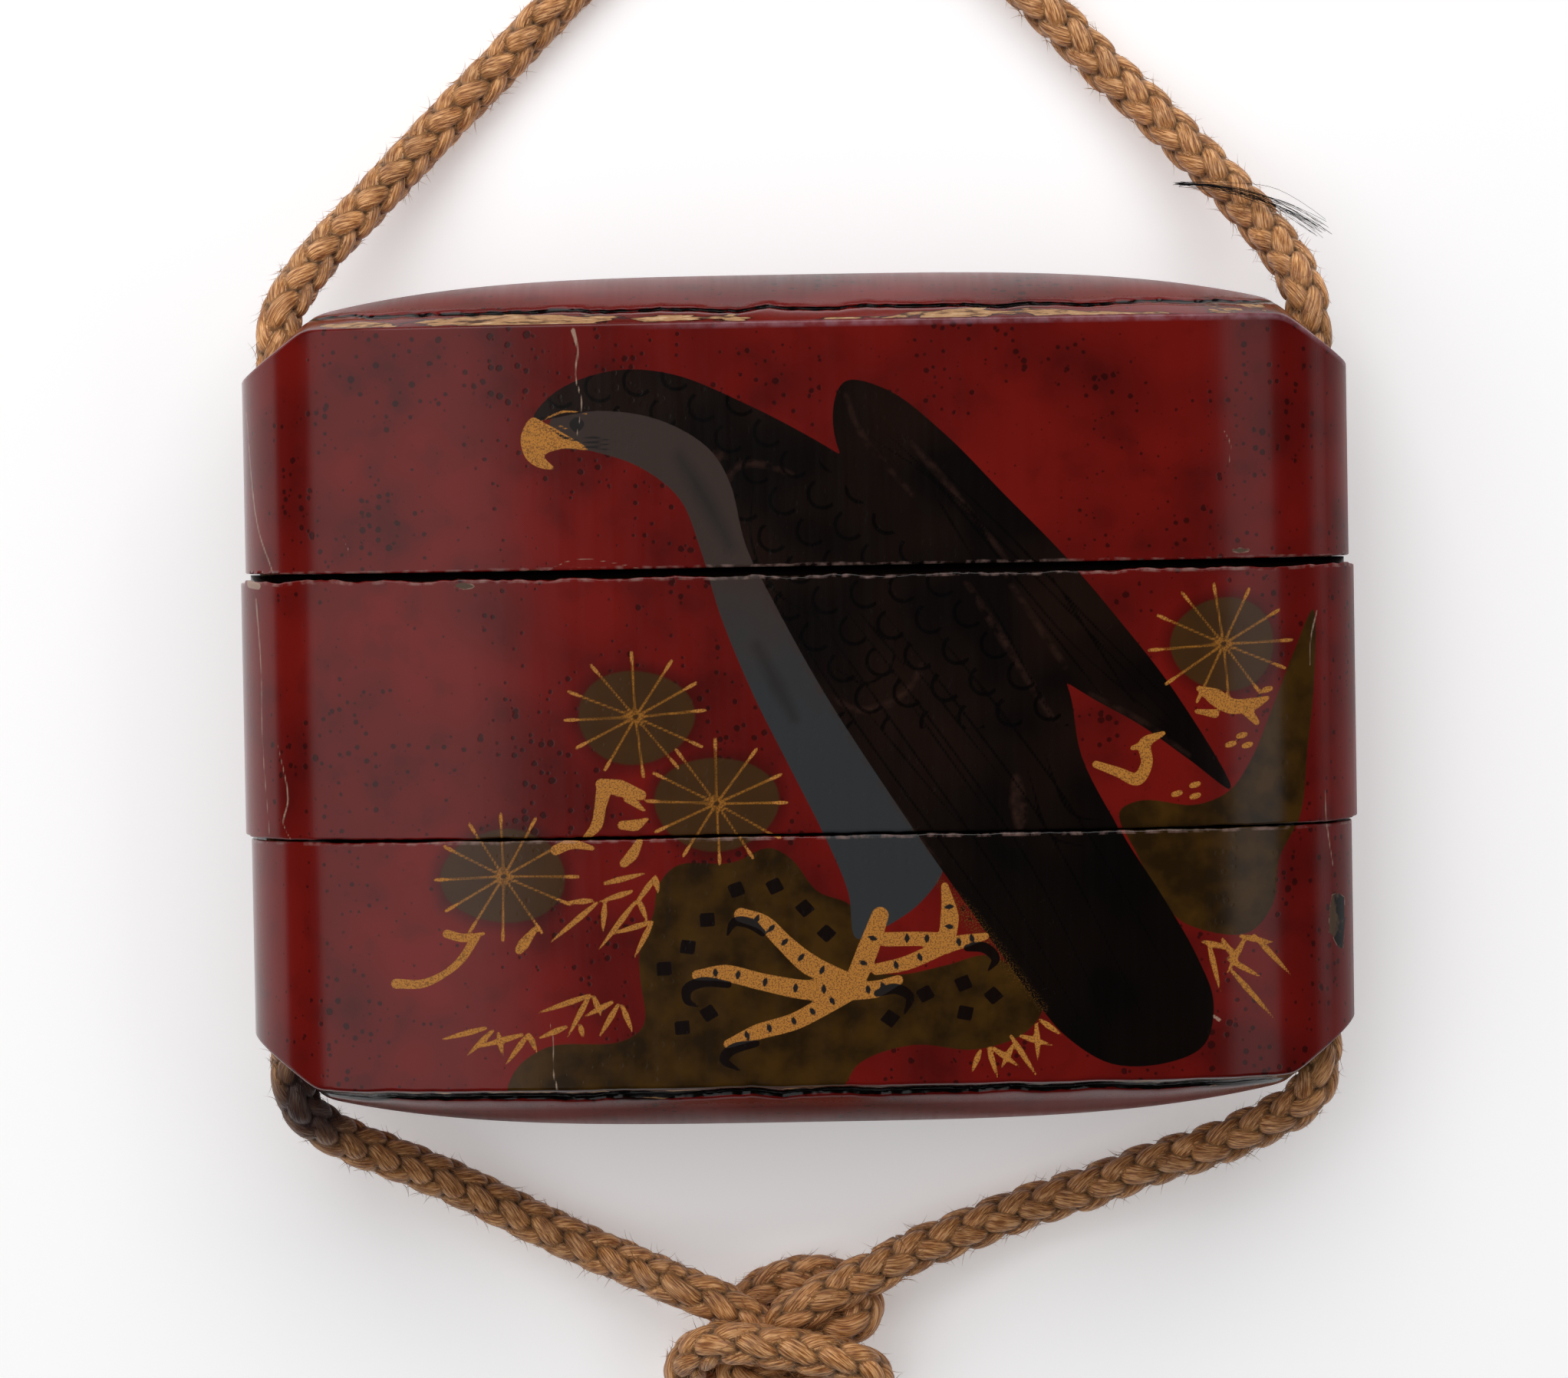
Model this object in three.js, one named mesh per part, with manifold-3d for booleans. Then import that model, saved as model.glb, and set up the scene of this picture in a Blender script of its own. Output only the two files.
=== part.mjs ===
// Inro: a two-case lacquered box with a lid, lying on its back, with its braided silk cord.
// Millimetres, +Z up out of the front panel, +Y towards the lid, origin under the middle of the case.

import * as THREE from 'three';
import { mergeVertices } from 'three/addons/utils/BufferGeometryUtils.js';
import Module from 'manifold-3d';

const wasm = await Module();
wasm.setup();

// ---- Driving dimensions -------------------------------------------------------------------

const CASE = {
  lidHalfWidth: 39.8,
  upperHalfWidth: 40.15,
  lowerHalfWidth: 39.75,
  halfDepth: 11,
  restDepth: 10.9,       // the back is flat this far behind the middle plane
  panelHalfHeight: 27,   // straight front edge, top and bottom
  cornerStart: 34.8,     // the corners are cut off beyond this, right through the depth
  cornerSlope: 0.7,
  cornerSoftness: 0.3,
  domeRise: 3.6,
  domeReach: 39.4,       // half width at which the dome would come down to its edge
};

const SECTION_POWER = 6; // |x / width|^6 + |z / depth|^2 = 1 is the section of the case

const SEAM = {
  lid: 9.4,       // between the lid and the upper case
  lidGap: 0.65,   // it no longer closes
  lower: -9.2,    // between the two cases
  lowerGap: 0.3,
  fieldHalfWidth: 39.45, // raised field inside the upper case's edge, that keeps out light
  fieldHalfDepth: 10.35,
  fieldHeight: 0.53,
};

const INSIDE = {
  halfWidth: 33.3,     // compartment of each case
  halfDepth: 8.45,
  rimThickness: 0.9,   // standing rim that the section above slides over
  rimHeight: 3.3,
  fitGap: 0.25,
  floorThickness: 1.6,
  endWall: 2.6,
};

const CORD = {
  diameter: 3.3,
  channelX: 37.2,
  channelRadius: 1.95,
  sides: 8,
  steps: 38,
  knotSteps: 46,
};

const COIL = {
  turnRadius: 18,      // middle of the turns
  strandPitch: 3.4,
  centre: new THREE.Vector3(-17.1, 88, 0),
  gap: 0.3,
};

const END_KNOT = { radius: 4.2, flat: 0.5, angle: THREE.MathUtils.degToRad(-10) };

const MIDDLE_Z = CASE.restDepth;
const CASE_END = CASE.panelHalfHeight + CASE.domeRise;
const CORD_RADIUS = CORD.diameter / 2;

// ---- Materials ----------------------------------------------------------------------------

function finish(name, color, roughness, metalness = 0) {
  const material = new THREE.MeshStandardMaterial({ color, roughness, metalness });
  material.name = name;
  return material;
}

const redLacquer = () => finish('red_lacquer', 0x5c1613, 0.25);
const silk = () => finish('gold_brown_silk', 0x9c7440, 0.7);

// ---- Solids -------------------------------------------------------------------------------

function toSolid(geometry) {
  const bare = new THREE.BufferGeometry();
  bare.setAttribute('position', geometry.getAttribute('position'));
  if (geometry.index) bare.setIndex(geometry.index);
  const merged = mergeVertices(bare, 1e-4);
  const vertProperties = new Float32Array(merged.getAttribute('position').array);
  const triVerts = new Uint32Array(merged.index.array);
  return new wasm.Manifold(new wasm.Mesh({ numProp: 3, vertProperties, triVerts }));
}

function toGeometry(solid) {
  const mesh = solid.getMesh();
  const geometry = new THREE.BufferGeometry();
  geometry.setAttribute('position', new THREE.BufferAttribute(mesh.vertProperties, 3));
  geometry.setIndex(new THREE.BufferAttribute(mesh.triVerts, 1));
  return geometry;
}

function part(name, geometry, material) {
  const mesh = new THREE.Mesh(geometry, material);
  mesh.name = name;
  return mesh;
}

// Skin over a row of rings with the same number of points. Each end closes to a point,
// or needs none where its last ring already lies shut on a line.
function loft(rings, startPoint = null, endPoint = null) {
  const count = rings[0].length;
  const points = rings.flat();
  const start = startPoint ? points.push(startPoint) - 1 : null;
  const end = endPoint ? points.push(endPoint) - 1 : null;
  const index = [];
  for (let k = 0; k < count; k += 1) {
    const next = (k + 1) % count;
    if (start !== null) index.push(start, k, next);
    for (let r = 0; r < rings.length - 1; r += 1) {
      const low = r * count;
      const high = low + count;
      index.push(low + k, high + k, high + next);
      index.push(low + k, high + next, low + next);
    }
    const last = (rings.length - 1) * count;
    if (end !== null) index.push(end, last + next, last + k);
  }
  const geometry = new THREE.BufferGeometry().setFromPoints(points);
  geometry.setIndex(index);
  return geometry;
}

function slab(fromY, toY) {
  const box = new THREE.BoxGeometry(120, toY - fromY, 60);
  box.translate(0, (fromY + toY) / 2, MIDDLE_Z);
  return toSolid(box);
}

// ---- The section of the case ---------------------------------------------------------------

const CORNER_STEPS = 11;
const FLAT_STEPS = 3;
const FLAT_ANGLE = Math.asin(CASE.restDepth / CASE.halfDepth);

// Angles round one ring: the round right side up to the flat front, and the same mirrored.
function ringAngles() {
  const side = Array.from({ length: CORNER_STEPS }, (_, i) => (FLAT_ANGLE * i) / CORNER_STEPS);
  const flat = Array.from({ length: FLAT_STEPS + 1 },
    (_, i) => FLAT_ANGLE + ((Math.PI - 2 * FLAT_ANGLE) * i) / FLAT_STEPS);
  const front = [...side, ...flat, ...side.slice(1).reverse().map((angle) => Math.PI - angle)];
  return [...front, ...front.map((angle) => Math.PI + angle)];
}

const RING_ANGLES = ringAngles();

function ring(halfWidth, halfDepth, y) {
  return RING_ANGLES.map((angle) => {
    const across = Math.cos(angle);
    const x = halfWidth * Math.sign(across) * Math.abs(across) ** (2 / SECTION_POWER);
    const z = Math.max(halfDepth * Math.sin(angle), -CASE.restDepth);
    return new THREE.Vector3(x, y, MIDDLE_Z + z);
  });
}

// Height of the straight edge over the middle, falling away along the cut corners.
function edgeHeight(x) {
  const { panelHalfHeight, cornerStart, cornerSlope, cornerSoftness } = CASE;
  const past = (Math.abs(x) - cornerStart) / cornerSoftness;
  return panelHalfHeight - cornerSlope * cornerSoftness * Math.log1p(Math.exp(past));
}

// How far the dome rises over that edge at the middle of the depth.
function domeHeight(x) {
  return CASE.domeRise * Math.max(0, 1 - (Math.abs(x) / CASE.domeReach) ** 3.6);
}

// One ring of the skin's end: share 0 is the edge, and towards 1 it closes over the dome.
function endRing(halfWidth, share, side) {
  return ring(halfWidth, CASE.halfDepth, 0).map(({ x, z }) => {
    const climbed = 1 - (1 - share) ** 2;
    const y = edgeHeight(x) + domeHeight(x) * climbed;
    return new THREE.Vector3(x * (1 - 0.02 * share), side * y, MIDDLE_Z + (z - MIDDLE_Z) * (1 - share));
  });
}

// Rings of a dome that closes the inside of a section, from its edge to near its top.
function domeRings(halfWidth, halfDepth, edgeY, rise, shares) {
  return shares.map((share) => ring(
    halfWidth * (1 - share) ** 0.25,
    halfDepth * (1 - share) ** 0.5,
    edgeY + rise * share,
  ));
}

function middleOf(y) {
  return new THREE.Vector3(0, y, MIDDLE_Z);
}

// Outer form of the whole case at one half width, from dome to dome.
function outerForm(halfWidth) {
  const shares = [0, 0.12, 0.3, 0.52, 0.76, 1];
  const top = shares.map((share) => endRing(halfWidth, share, 1));
  const bottom = shares.map((share) => endRing(halfWidth, share, -1)).reverse();
  return toSolid(loft([...bottom, ...top]));
}

// A straight-sided plug of the case's section, for compartments, sockets and rims.
function plug(halfWidth, halfDepth, fromY, toY) {
  const rings = [ring(halfWidth, halfDepth, fromY), ring(halfWidth, halfDepth, toY)];
  return toSolid(loft(rings, middleOf(fromY), middleOf(toY)));
}

// A plug that ends in a low dome at closedY, as the inside of the lid and of the lower case does.
function domedPlug(halfWidth, halfDepth, openY, closedY) {
  const side = Math.sign(closedY - openY);
  const rise = 2.6 * side;
  const edgeY = closedY - rise;
  const rings = [
    ring(halfWidth, halfDepth, openY),
    ring(halfWidth, halfDepth, edgeY),
    ...domeRings(halfWidth, halfDepth, edgeY, rise, [0.3, 0.65, 0.9]),
  ];
  const ordered = side > 0 ? rings : [...rings].reverse();
  const ends = side > 0 ? [openY, closedY] : [closedY, openY];
  return toSolid(loft(ordered, middleOf(ends[0]), middleOf(ends[1])));
}

// The two holes through the side walls that the cord runs in.
function cordChannels() {
  const sides = 16;
  const hole = new THREE.CylinderGeometry(CORD.channelRadius, CORD.channelRadius, 70, sides);
  const left = hole.clone().translate(-CORD.channelX, 0, MIDDLE_Z);
  const right = hole.clone().translate(CORD.channelX, 0, MIDDLE_Z);
  return toSolid(left).add(toSolid(right));
}

const channels = cordChannels();

// ---- Lid and cases --------------------------------------------------------------------------

const RIM = {
  halfWidth: INSIDE.halfWidth + INSIDE.rimThickness,
  halfDepth: INSIDE.halfDepth + INSIDE.rimThickness,
};
const SOCKET = {
  halfWidth: RIM.halfWidth + INSIDE.fitGap,
  halfDepth: RIM.halfDepth + INSIDE.fitGap,
};
const LID_EDGE = SEAM.lid + SEAM.lidGap / 2;
const UPPER_TOP = SEAM.lid - SEAM.lidGap / 2;
const UPPER_BOTTOM = SEAM.lower + SEAM.lowerGap / 2;
const LOWER_TOP = SEAM.lower - SEAM.lowerGap / 2;
const OVERRUN = 1;

function standingRim(edgeY) {
  return plug(RIM.halfWidth, RIM.halfDepth, edgeY - OVERRUN, edgeY + INSIDE.rimHeight);
}

function lid() {
  const shell = outerForm(CASE.lidHalfWidth).intersect(slab(LID_EDGE, CASE_END + OVERRUN));
  const closedY = CASE_END - INSIDE.endWall;
  const hollow = domedPlug(SOCKET.halfWidth, SOCKET.halfDepth, LID_EDGE - OVERRUN, closedY);
  return toGeometry(shell.subtract(hollow).subtract(channels));
}

function raisedField() {
  const { fieldHalfWidth, fieldHalfDepth, fieldHeight } = SEAM;
  return plug(fieldHalfWidth, fieldHalfDepth, UPPER_TOP - OVERRUN, UPPER_TOP + fieldHeight);
}

function upperCase() {
  const rimTop = UPPER_TOP + INSIDE.rimHeight;
  const socketTop = UPPER_BOTTOM + INSIDE.rimHeight + INSIDE.fitGap;
  const floorTop = socketTop + INSIDE.floorThickness;
  const block = outerForm(CASE.upperHalfWidth)
    .intersect(slab(UPPER_BOTTOM, UPPER_TOP))
    .add(raisedField())
    .add(standingRim(UPPER_TOP));
  const socket = plug(SOCKET.halfWidth, SOCKET.halfDepth, UPPER_BOTTOM - OVERRUN, socketTop);
  const room = plug(INSIDE.halfWidth, INSIDE.halfDepth, floorTop, rimTop + OVERRUN);
  return toGeometry(block.subtract(socket).subtract(room).subtract(channels));
}

function lowerCase() {
  const rimTop = LOWER_TOP + INSIDE.rimHeight;
  const closedY = -CASE_END + INSIDE.endWall;
  const block = outerForm(CASE.lowerHalfWidth)
    .intersect(slab(-CASE_END - OVERRUN, LOWER_TOP))
    .add(standingRim(LOWER_TOP));
  const room = domedPlug(INSIDE.halfWidth, INSIDE.halfDepth, rimTop + OVERRUN, closedY);
  return toGeometry(block.subtract(room).subtract(channels));
}

// ---- Cord -----------------------------------------------------------------------------------

function vectors(list) {
  return list.map(([x, y, z]) => new THREE.Vector3(x, y, z));
}

function route(list) {
  return new THREE.CatmullRomCurve3(vectors(list), false, 'centripetal');
}

function cordSection() {
  const shape = new THREE.Shape();
  for (let k = 0; k < CORD.sides; k += 1) {
    const angle = (2 * Math.PI * (k + 0.5)) / CORD.sides;
    const x = CORD_RADIUS * Math.cos(angle);
    const y = CORD_RADIUS * Math.sin(angle);
    if (k === 0) shape.moveTo(x, y);
    else shape.lineTo(x, y);
  }
  return shape;
}

function tube(path, steps) {
  return new THREE.ExtrudeGeometry(cordSection(), { steps, extrudePath: path, bevelEnabled: false });
}

// The straight run inside the side wall, with the same few stops on either side.
function channelRun(x) {
  return [-26.6, -25.2, -12, 0, 12, 25.2, 26.6].map((y) => [x, y, MIDDLE_Z]);
}

// From the knot under the case, up through the left wall, and on to the coil.
const LEFT_ROUTE = [
  [-10.3, -42.9, 5.2],
  [-12.9, -41.9, 3.8],
  [-16.6, -40.4, 2.8],
  [-21.1, -38.2, 2.6],
  [-25.5, -35.8, 3.6],
  [-29.9, -33.6, 5.4],
  [-33.6, -31.8, 7.4],
  [-35.9, -30.0, 9.4],
  [-36.9, -28.4, 10.5],
  ...channelRun(-CORD.channelX),
  [-36.9, 28.4, 10.5],
  [-36.1, 30.0, 9.6],
  [-34.0, 33.0, 7.6],
  [-31.1, 36.2, 5.4],
  [-28.0, 39.6, 3.6],
  [-24.8, 43.0, 2.4],
  [-21.5, 46.3, 1.8],
  [-16.6, 51.3, 1.7],
  [-11.2, 56.6, 1.7],
  [-6.2, 61.4, 1.7],
  [-2.5, 66.0, 1.7],
  [-0.9, 70.0, 1.7],
  [-0.8, 72.0, 1.7],
];

// The same on the right.
const RIGHT_ROUTE = [
  [6.9, -41.3, 4.6],
  [11.6, -39.7, 3.4],
  [16.2, -38.1, 2.8],
  [20.7, -36.7, 3.4],
  [25.2, -34.9, 4.8],
  [29.6, -33.4, 6.4],
  [33.4, -31.6, 8.0],
  [35.9, -30.0, 9.5],
  [36.9, -28.4, 10.5],
  ...channelRun(CORD.channelX),
  [37.0, 28.4, 10.4],
  [36.4, 30.3, 9.2],
  [34.8, 33.0, 6.9],
  [32.2, 36.4, 4.8],
  [29.0, 39.9, 3.2],
  [26.0, 43.0, 2.3],
  [23.4, 45.5, 1.8],
  [18.4, 50.7, 1.7],
  [13.2, 56.2, 1.7],
  [8.4, 61.2, 1.7],
  [4.6, 66.2, 1.7],
  [2.8, 71.0, 1.7],
  [2.6, 76.1, 1.7],
];

// The left strand dives under its own wrap, comes round over the front, and loops up behind.
const KNOT_LEFT_ROUTE = [
  [-9.7, -43.2, 5.5],
  [-7.3, -44.1, 5.6],
  [-5.3, -45.3, 5.4],
  [-3.2, -47.0, 5.0],
  [-0.7, -49.4, 4.0],
  [1.6, -51.2, 3.8],
  [4.0, -51.3, 5.2],
  [4.5, -49.7, 7.2],
  [2.7, -48.5, 8.4],
  [-0.4, -47.7, 8.9],
  [-3.4, -47.2, 8.9],
  [-6.5, -47.0, 8.2],
  [-8.5, -48.0, 6.6],
  [-9.3, -49.7, 4.8],
  [-8.6, -51.3, 2.8],
  [-7.4, -49.9, 1.9],
  [-6.3, -47.7, 1.8],
  [-5.1, -45.7, 1.8],
  [-3.4, -44.1, 1.8],
  [-1.4, -43.3, 1.9],
  [0.9, -43.1, 2.0],
  [2.9, -43.9, 2.5],
  [3.9, -45.2, 3.8],
  [2.8, -46.4, 4.9],
  [0.7, -46.8, 4.8],
  [-1.2, -47.4, 3.8],
];

// The right strand dives into the middle and comes out below the wrap, side by side with it.
const KNOT_RIGHT_ROUTE = [
  [6.3, -41.7, 4.9],
  [2.6, -43.3, 5.8],
  [0.6, -44.2, 6.4],
  [-1.2, -45.2, 6.2],
  [-2.6, -46.7, 4.7],
  [-4.0, -48.4, 4.6],
  [-5.6, -49.8, 5.6],
  [-3.2, -50.6, 6.2],
  [-0.4, -51.1, 5.6],
  [1.5, -52.4, 4.0],
];

function cordKnot() {
  const left = toSolid(tube(route(KNOT_LEFT_ROUTE), CORD.knotSteps));
  const right = toSolid(tube(route(KNOT_RIGHT_ROUTE), CORD.knotSteps / 2));
  return toGeometry(left.add(right));
}

// Two strands side by side and two high, wound round and round.
function cordCoil() {
  const inner = COIL.turnRadius - COIL.strandPitch;
  const outer = COIL.turnRadius + COIL.strandPitch;
  const height = 2 * COIL.strandPitch;
  const bevel = 1;
  const profile = [
    new THREE.Vector2(inner + bevel, 0),
    new THREE.Vector2(outer - bevel, 0),
    new THREE.Vector2(outer, bevel),
    new THREE.Vector2(outer, height - bevel),
    new THREE.Vector2(outer - bevel, height),
    new THREE.Vector2(inner + bevel, height),
    new THREE.Vector2(inner, height - bevel),
    new THREE.Vector2(inner, bevel),
    new THREE.Vector2(inner + bevel, 0),
  ];
  const geometry = new THREE.LatheGeometry(profile, 32);
  geometry.rotateX(Math.PI / 2);
  geometry.translate(COIL.centre.x, COIL.centre.y, 0);
  return toGeometry(toSolid(geometry));
}

// The knot that ties the two ends, lying inside the coil against its turns.
function endKnot() {
  const fromCentre = COIL.turnRadius - COIL.strandPitch - COIL.gap - END_KNOT.radius;
  const x = COIL.centre.x + fromCentre * Math.cos(END_KNOT.angle);
  const y = COIL.centre.y + fromCentre * Math.sin(END_KNOT.angle);
  const geometry = new THREE.SphereGeometry(END_KNOT.radius, 16, 10);
  geometry.rotateX(Math.PI / 2);
  geometry.translate(x, y, END_KNOT.radius - END_KNOT.flat);
  const floor = new THREE.BoxGeometry(40, 40, 20);
  floor.translate(COIL.centre.x, COIL.centre.y, -10);
  return toGeometry(toSolid(geometry).subtract(toSolid(floor)));
}

// ---- The object -----------------------------------------------------------------------------

const inro = new THREE.Group();
inro.add(part('lid', lid(), redLacquer()));
inro.add(part('upper_case', upperCase(), redLacquer()));
inro.add(part('lower_case', lowerCase(), redLacquer()));
inro.add(part('cord_left', tube(route(LEFT_ROUTE), CORD.steps), silk()));
inro.add(part('cord_right', tube(route(RIGHT_ROUTE), CORD.steps), silk()));
inro.add(part('cord_knot', cordKnot(), silk()));
inro.add(part('cord_coil', cordCoil(), silk()));
inro.add(part('cord_end_knot', endKnot(), silk()));

export default inro;
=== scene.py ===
# %% [markdown]
# # A lacquered inro and its silk cord
# An inro is a flat case of sections that stack, hung from the sash on one long cord.
# This lesson dresses a finished model of one: the sizes and places come from the model,
# and Blender adds the lacquer, the painted picture, the wear and the braid of the cord.

# %% Load the model
import math

import bpy
import numpy as np
from mathutils import Matrix


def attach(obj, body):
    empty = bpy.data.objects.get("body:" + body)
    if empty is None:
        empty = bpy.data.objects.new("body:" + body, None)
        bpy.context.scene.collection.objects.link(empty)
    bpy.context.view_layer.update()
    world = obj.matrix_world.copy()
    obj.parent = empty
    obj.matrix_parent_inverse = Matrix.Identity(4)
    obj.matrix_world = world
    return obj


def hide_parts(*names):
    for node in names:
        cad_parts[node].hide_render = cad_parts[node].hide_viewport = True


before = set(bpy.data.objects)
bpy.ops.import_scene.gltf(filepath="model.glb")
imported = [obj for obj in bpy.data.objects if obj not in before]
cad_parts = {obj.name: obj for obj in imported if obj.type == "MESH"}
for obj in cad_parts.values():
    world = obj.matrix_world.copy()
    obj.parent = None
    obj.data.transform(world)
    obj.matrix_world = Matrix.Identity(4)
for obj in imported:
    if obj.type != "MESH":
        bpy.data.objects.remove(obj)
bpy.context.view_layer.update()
MM = 0.001
print("nodes", sorted(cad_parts))

# %% [markdown]
# ## Helpers
# Colours are easiest to read as the hex values a painter would pick on a screen, while
# Blender mixes light in linear values, so one function turns the first into the second.
# Shapes are worked out as whole arrays of points on a grid, because a formula over two
# parameters is short, exact and quick. One function lays such a grid into a mesh.

# %% Colour and mesh helpers
rng = np.random.default_rng(7)


def linear(hex_code):
    """An sRGB hex colour as linear RGBA: the low end is divided, the rest raised to 2.4."""
    srgb = np.array([int(hex_code[i:i + 2], 16) for i in (1, 3, 5)]) / 255.0
    low = srgb / 12.92
    high = ((srgb + 0.055) / 1.055) ** 2.4
    return (*np.where(srgb <= 0.04045, low, high), 1.0)


def grid_faces(rows, columns, wrap=True, first=0):
    """Quads of a grid of points in row order; with wrap, the last column meets the first."""
    r = np.arange(rows - 1)[:, None]
    c = np.arange(columns if wrap else columns - 1)[None, :]
    n = (c + 1) % columns
    quads = [r * columns + c, r * columns + n, (r + 1) * columns + n, (r + 1) * columns + c]
    return np.stack(quads, -1).reshape(-1, 4) + first


def fan_faces(ring_start, columns, centre, outward):
    """Triangles from one ring of points to a centre point."""
    c = np.arange(columns)
    fan = np.stack([ring_start + c, ring_start + (c + 1) % columns, np.full(columns, centre)], -1)
    return fan if outward else fan[:, [1, 0, 2]]


def make_mesh(name, points_mm, quads, triangles=None, material=None):
    """A mesh object from points in millimetres, with quads and triangles, shaded smooth."""
    mesh = bpy.data.meshes.new(name)
    triangles = np.zeros((0, 3), int) if triangles is None else triangles
    corners = np.concatenate([quads.ravel(), triangles.ravel()]).astype(np.int32)
    sizes = np.concatenate([np.full(len(quads), 4), np.full(len(triangles), 3)])
    starts = np.concatenate([[0], np.cumsum(sizes)[:-1]]).astype(np.int32)
    mesh.vertices.add(len(points_mm))
    mesh.vertices.foreach_set("co", (np.asarray(points_mm) * MM).astype(np.float32).ravel())
    mesh.loops.add(len(corners))
    mesh.loops.foreach_set("vertex_index", corners)
    mesh.polygons.add(len(sizes))
    mesh.polygons.foreach_set("loop_start", starts)
    mesh.update(calc_edges=True)
    mesh.polygons.foreach_set("use_smooth", np.ones(len(sizes), bool))
    piece = bpy.data.objects.new(name, mesh)
    bpy.context.scene.collection.objects.link(piece)
    if material:
        mesh.materials.append(material)
    mesh.validate()
    return piece


def store(piece, name, values):
    """Keeps one number, or one vector, for each point, for the material to read."""
    kind = "FLOAT" if values.ndim == 1 else "FLOAT_VECTOR"
    key = "value" if values.ndim == 1 else "vector"
    layer = piece.data.attributes.new(name, kind, "POINT")
    layer.data.foreach_set(key, values.astype(np.float32).ravel())


# %% [markdown]
# ## Materials as formulas
# A node material is a network of small sums. A wire here stands for the output of one node,
# and it adds and multiplies like a number: each sign makes the node that does so. A material
# can then be read as the formula that it is.

# %% Material helpers
class Wire:
    """The output of a node, which can be used with the signs of arithmetic."""

    def __init__(self, socket):
        self.socket = socket

    def other(self, name):
        """Another output of the same node."""
        return Wire(self.socket.node.outputs[name])

    def __add__(self, value):
        return maths("ADD", self, value)

    def __sub__(self, value):
        return maths("SUBTRACT", self, value)

    def __rsub__(self, value):
        return maths("SUBTRACT", value, self)

    def __mul__(self, value):
        return maths("MULTIPLY", self, value)

    def __truediv__(self, value):
        return maths("DIVIDE", self, value)


def connect(value, socket):
    """Links a wire into a socket, or sets the socket to a hex colour or a plain value."""
    if isinstance(value, Wire):
        tree.links.new(value.socket, socket)
    else:
        socket.default_value = linear(value) if isinstance(value, str) else value


def new_material(name):
    """An empty node material and its tree. The functions below work on the tree made last."""
    material = bpy.data.materials.new(name)
    material.use_nodes = True
    material.node_tree.nodes.clear()
    return material, material.node_tree


def add_node(kind, output, inputs, **settings):
    """A wire from one output of a new node, with its settings and its inputs."""
    node = tree.nodes.new("ShaderNode" + kind)
    for name, value in settings.items():
        setattr(node, name, value)
    for name, value in inputs.items():
        connect(value, node.inputs[name])
    return Wire(node.outputs[output])


def maths(operation, *values):
    return add_node("Math", "Value", dict(enumerate(values)), operation=operation)


def least(first_value, second_value):
    return maths("MINIMUM", first_value, second_value)


def most(first_value, second_value):
    return maths("MAXIMUM", first_value, second_value)


def attribute(name, output="Fac"):
    return add_node("Attribute", output, {}, attribute_name=name)


def noise(space, scale, detail, stretch=None, roughness=0.5):
    """Noise with so many patches to the unit of a space, which may be stretched first."""
    if stretch:
        space = add_node("Mapping", "Vector", {"Vector": space, "Scale": stretch})
    return add_node("TexNoise", "Fac", {
        "Vector": space, "Scale": scale, "Detail": detail, "Roughness": roughness})


def ramp(value, low, high, to_low=0.0, to_high=1.0):
    """Straight from one value to another between two places, and level outside them."""
    return add_node("MapRange", "Result", {
        "Value": value, "From Min": low, "From Max": high, "To Min": to_low, "To Max": to_high})


def over(under, colour, mask):
    """Lays a colour over another where the mask is one."""
    return add_node("Mix", 2, {"Factor": mask, 6: under, 7: colour}, data_type="RGBA")


def bump(height, strength, distance):
    return add_node("Bump", "Normal", {"Height": height, "Strength": strength, "Distance": distance})


def surface(inputs):
    """Closes the material with one shader that has these inputs."""
    shader = add_node("BsdfPrincipled", "BSDF", inputs)
    connect(shader, tree.nodes.new("ShaderNodeOutputMaterial").inputs["Surface"])


# %% [markdown]
# ## Camera
# The case lies on its back and the camera looks almost straight down at the front panel,
# through a long lens that keeps its sides parallel. It leans two degrees towards the lid,
# so a little more of the domed top shows than of the bottom.

# %% Camera
FRONT_Z = 21.9
CAMERA_DISTANCE = 430.0
CAMERA_LEAN = math.radians(2.0)
CAMERA_ROLL = math.radians(1.0)
AIM = np.array([-1.1, 1.1, FRONT_Z])

back = np.array([0.0, math.sin(CAMERA_LEAN), math.cos(CAMERA_LEAN)])
level_up = np.array([0.0, math.cos(CAMERA_LEAN), -math.sin(CAMERA_LEAN)])
level_right = np.array([1.0, 0.0, 0.0])
right = math.cos(CAMERA_ROLL) * level_right - math.sin(CAMERA_ROLL) * level_up
up = math.sin(CAMERA_ROLL) * level_right + math.cos(CAMERA_ROLL) * level_up

camera_data = bpy.data.cameras.new("camera")
camera_data.lens = 140.1
camera_data.sensor_width = 36.0
camera = bpy.data.objects.new("camera", camera_data)
turn = np.eye(4)
turn[:3, :3] = np.stack([right, up, back], 1)
turn[:3, 3] = (AIM + back * CAMERA_DISTANCE) * MM
camera.matrix_world = Matrix(turn.tolist())
bpy.context.scene.collection.objects.link(camera)
bpy.context.scene.camera = camera
bpy.context.scene.view_settings.view_transform = "Standard"
print("camera at", np.round(AIM + back * CAMERA_DISTANCE, 1), "mm")
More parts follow.
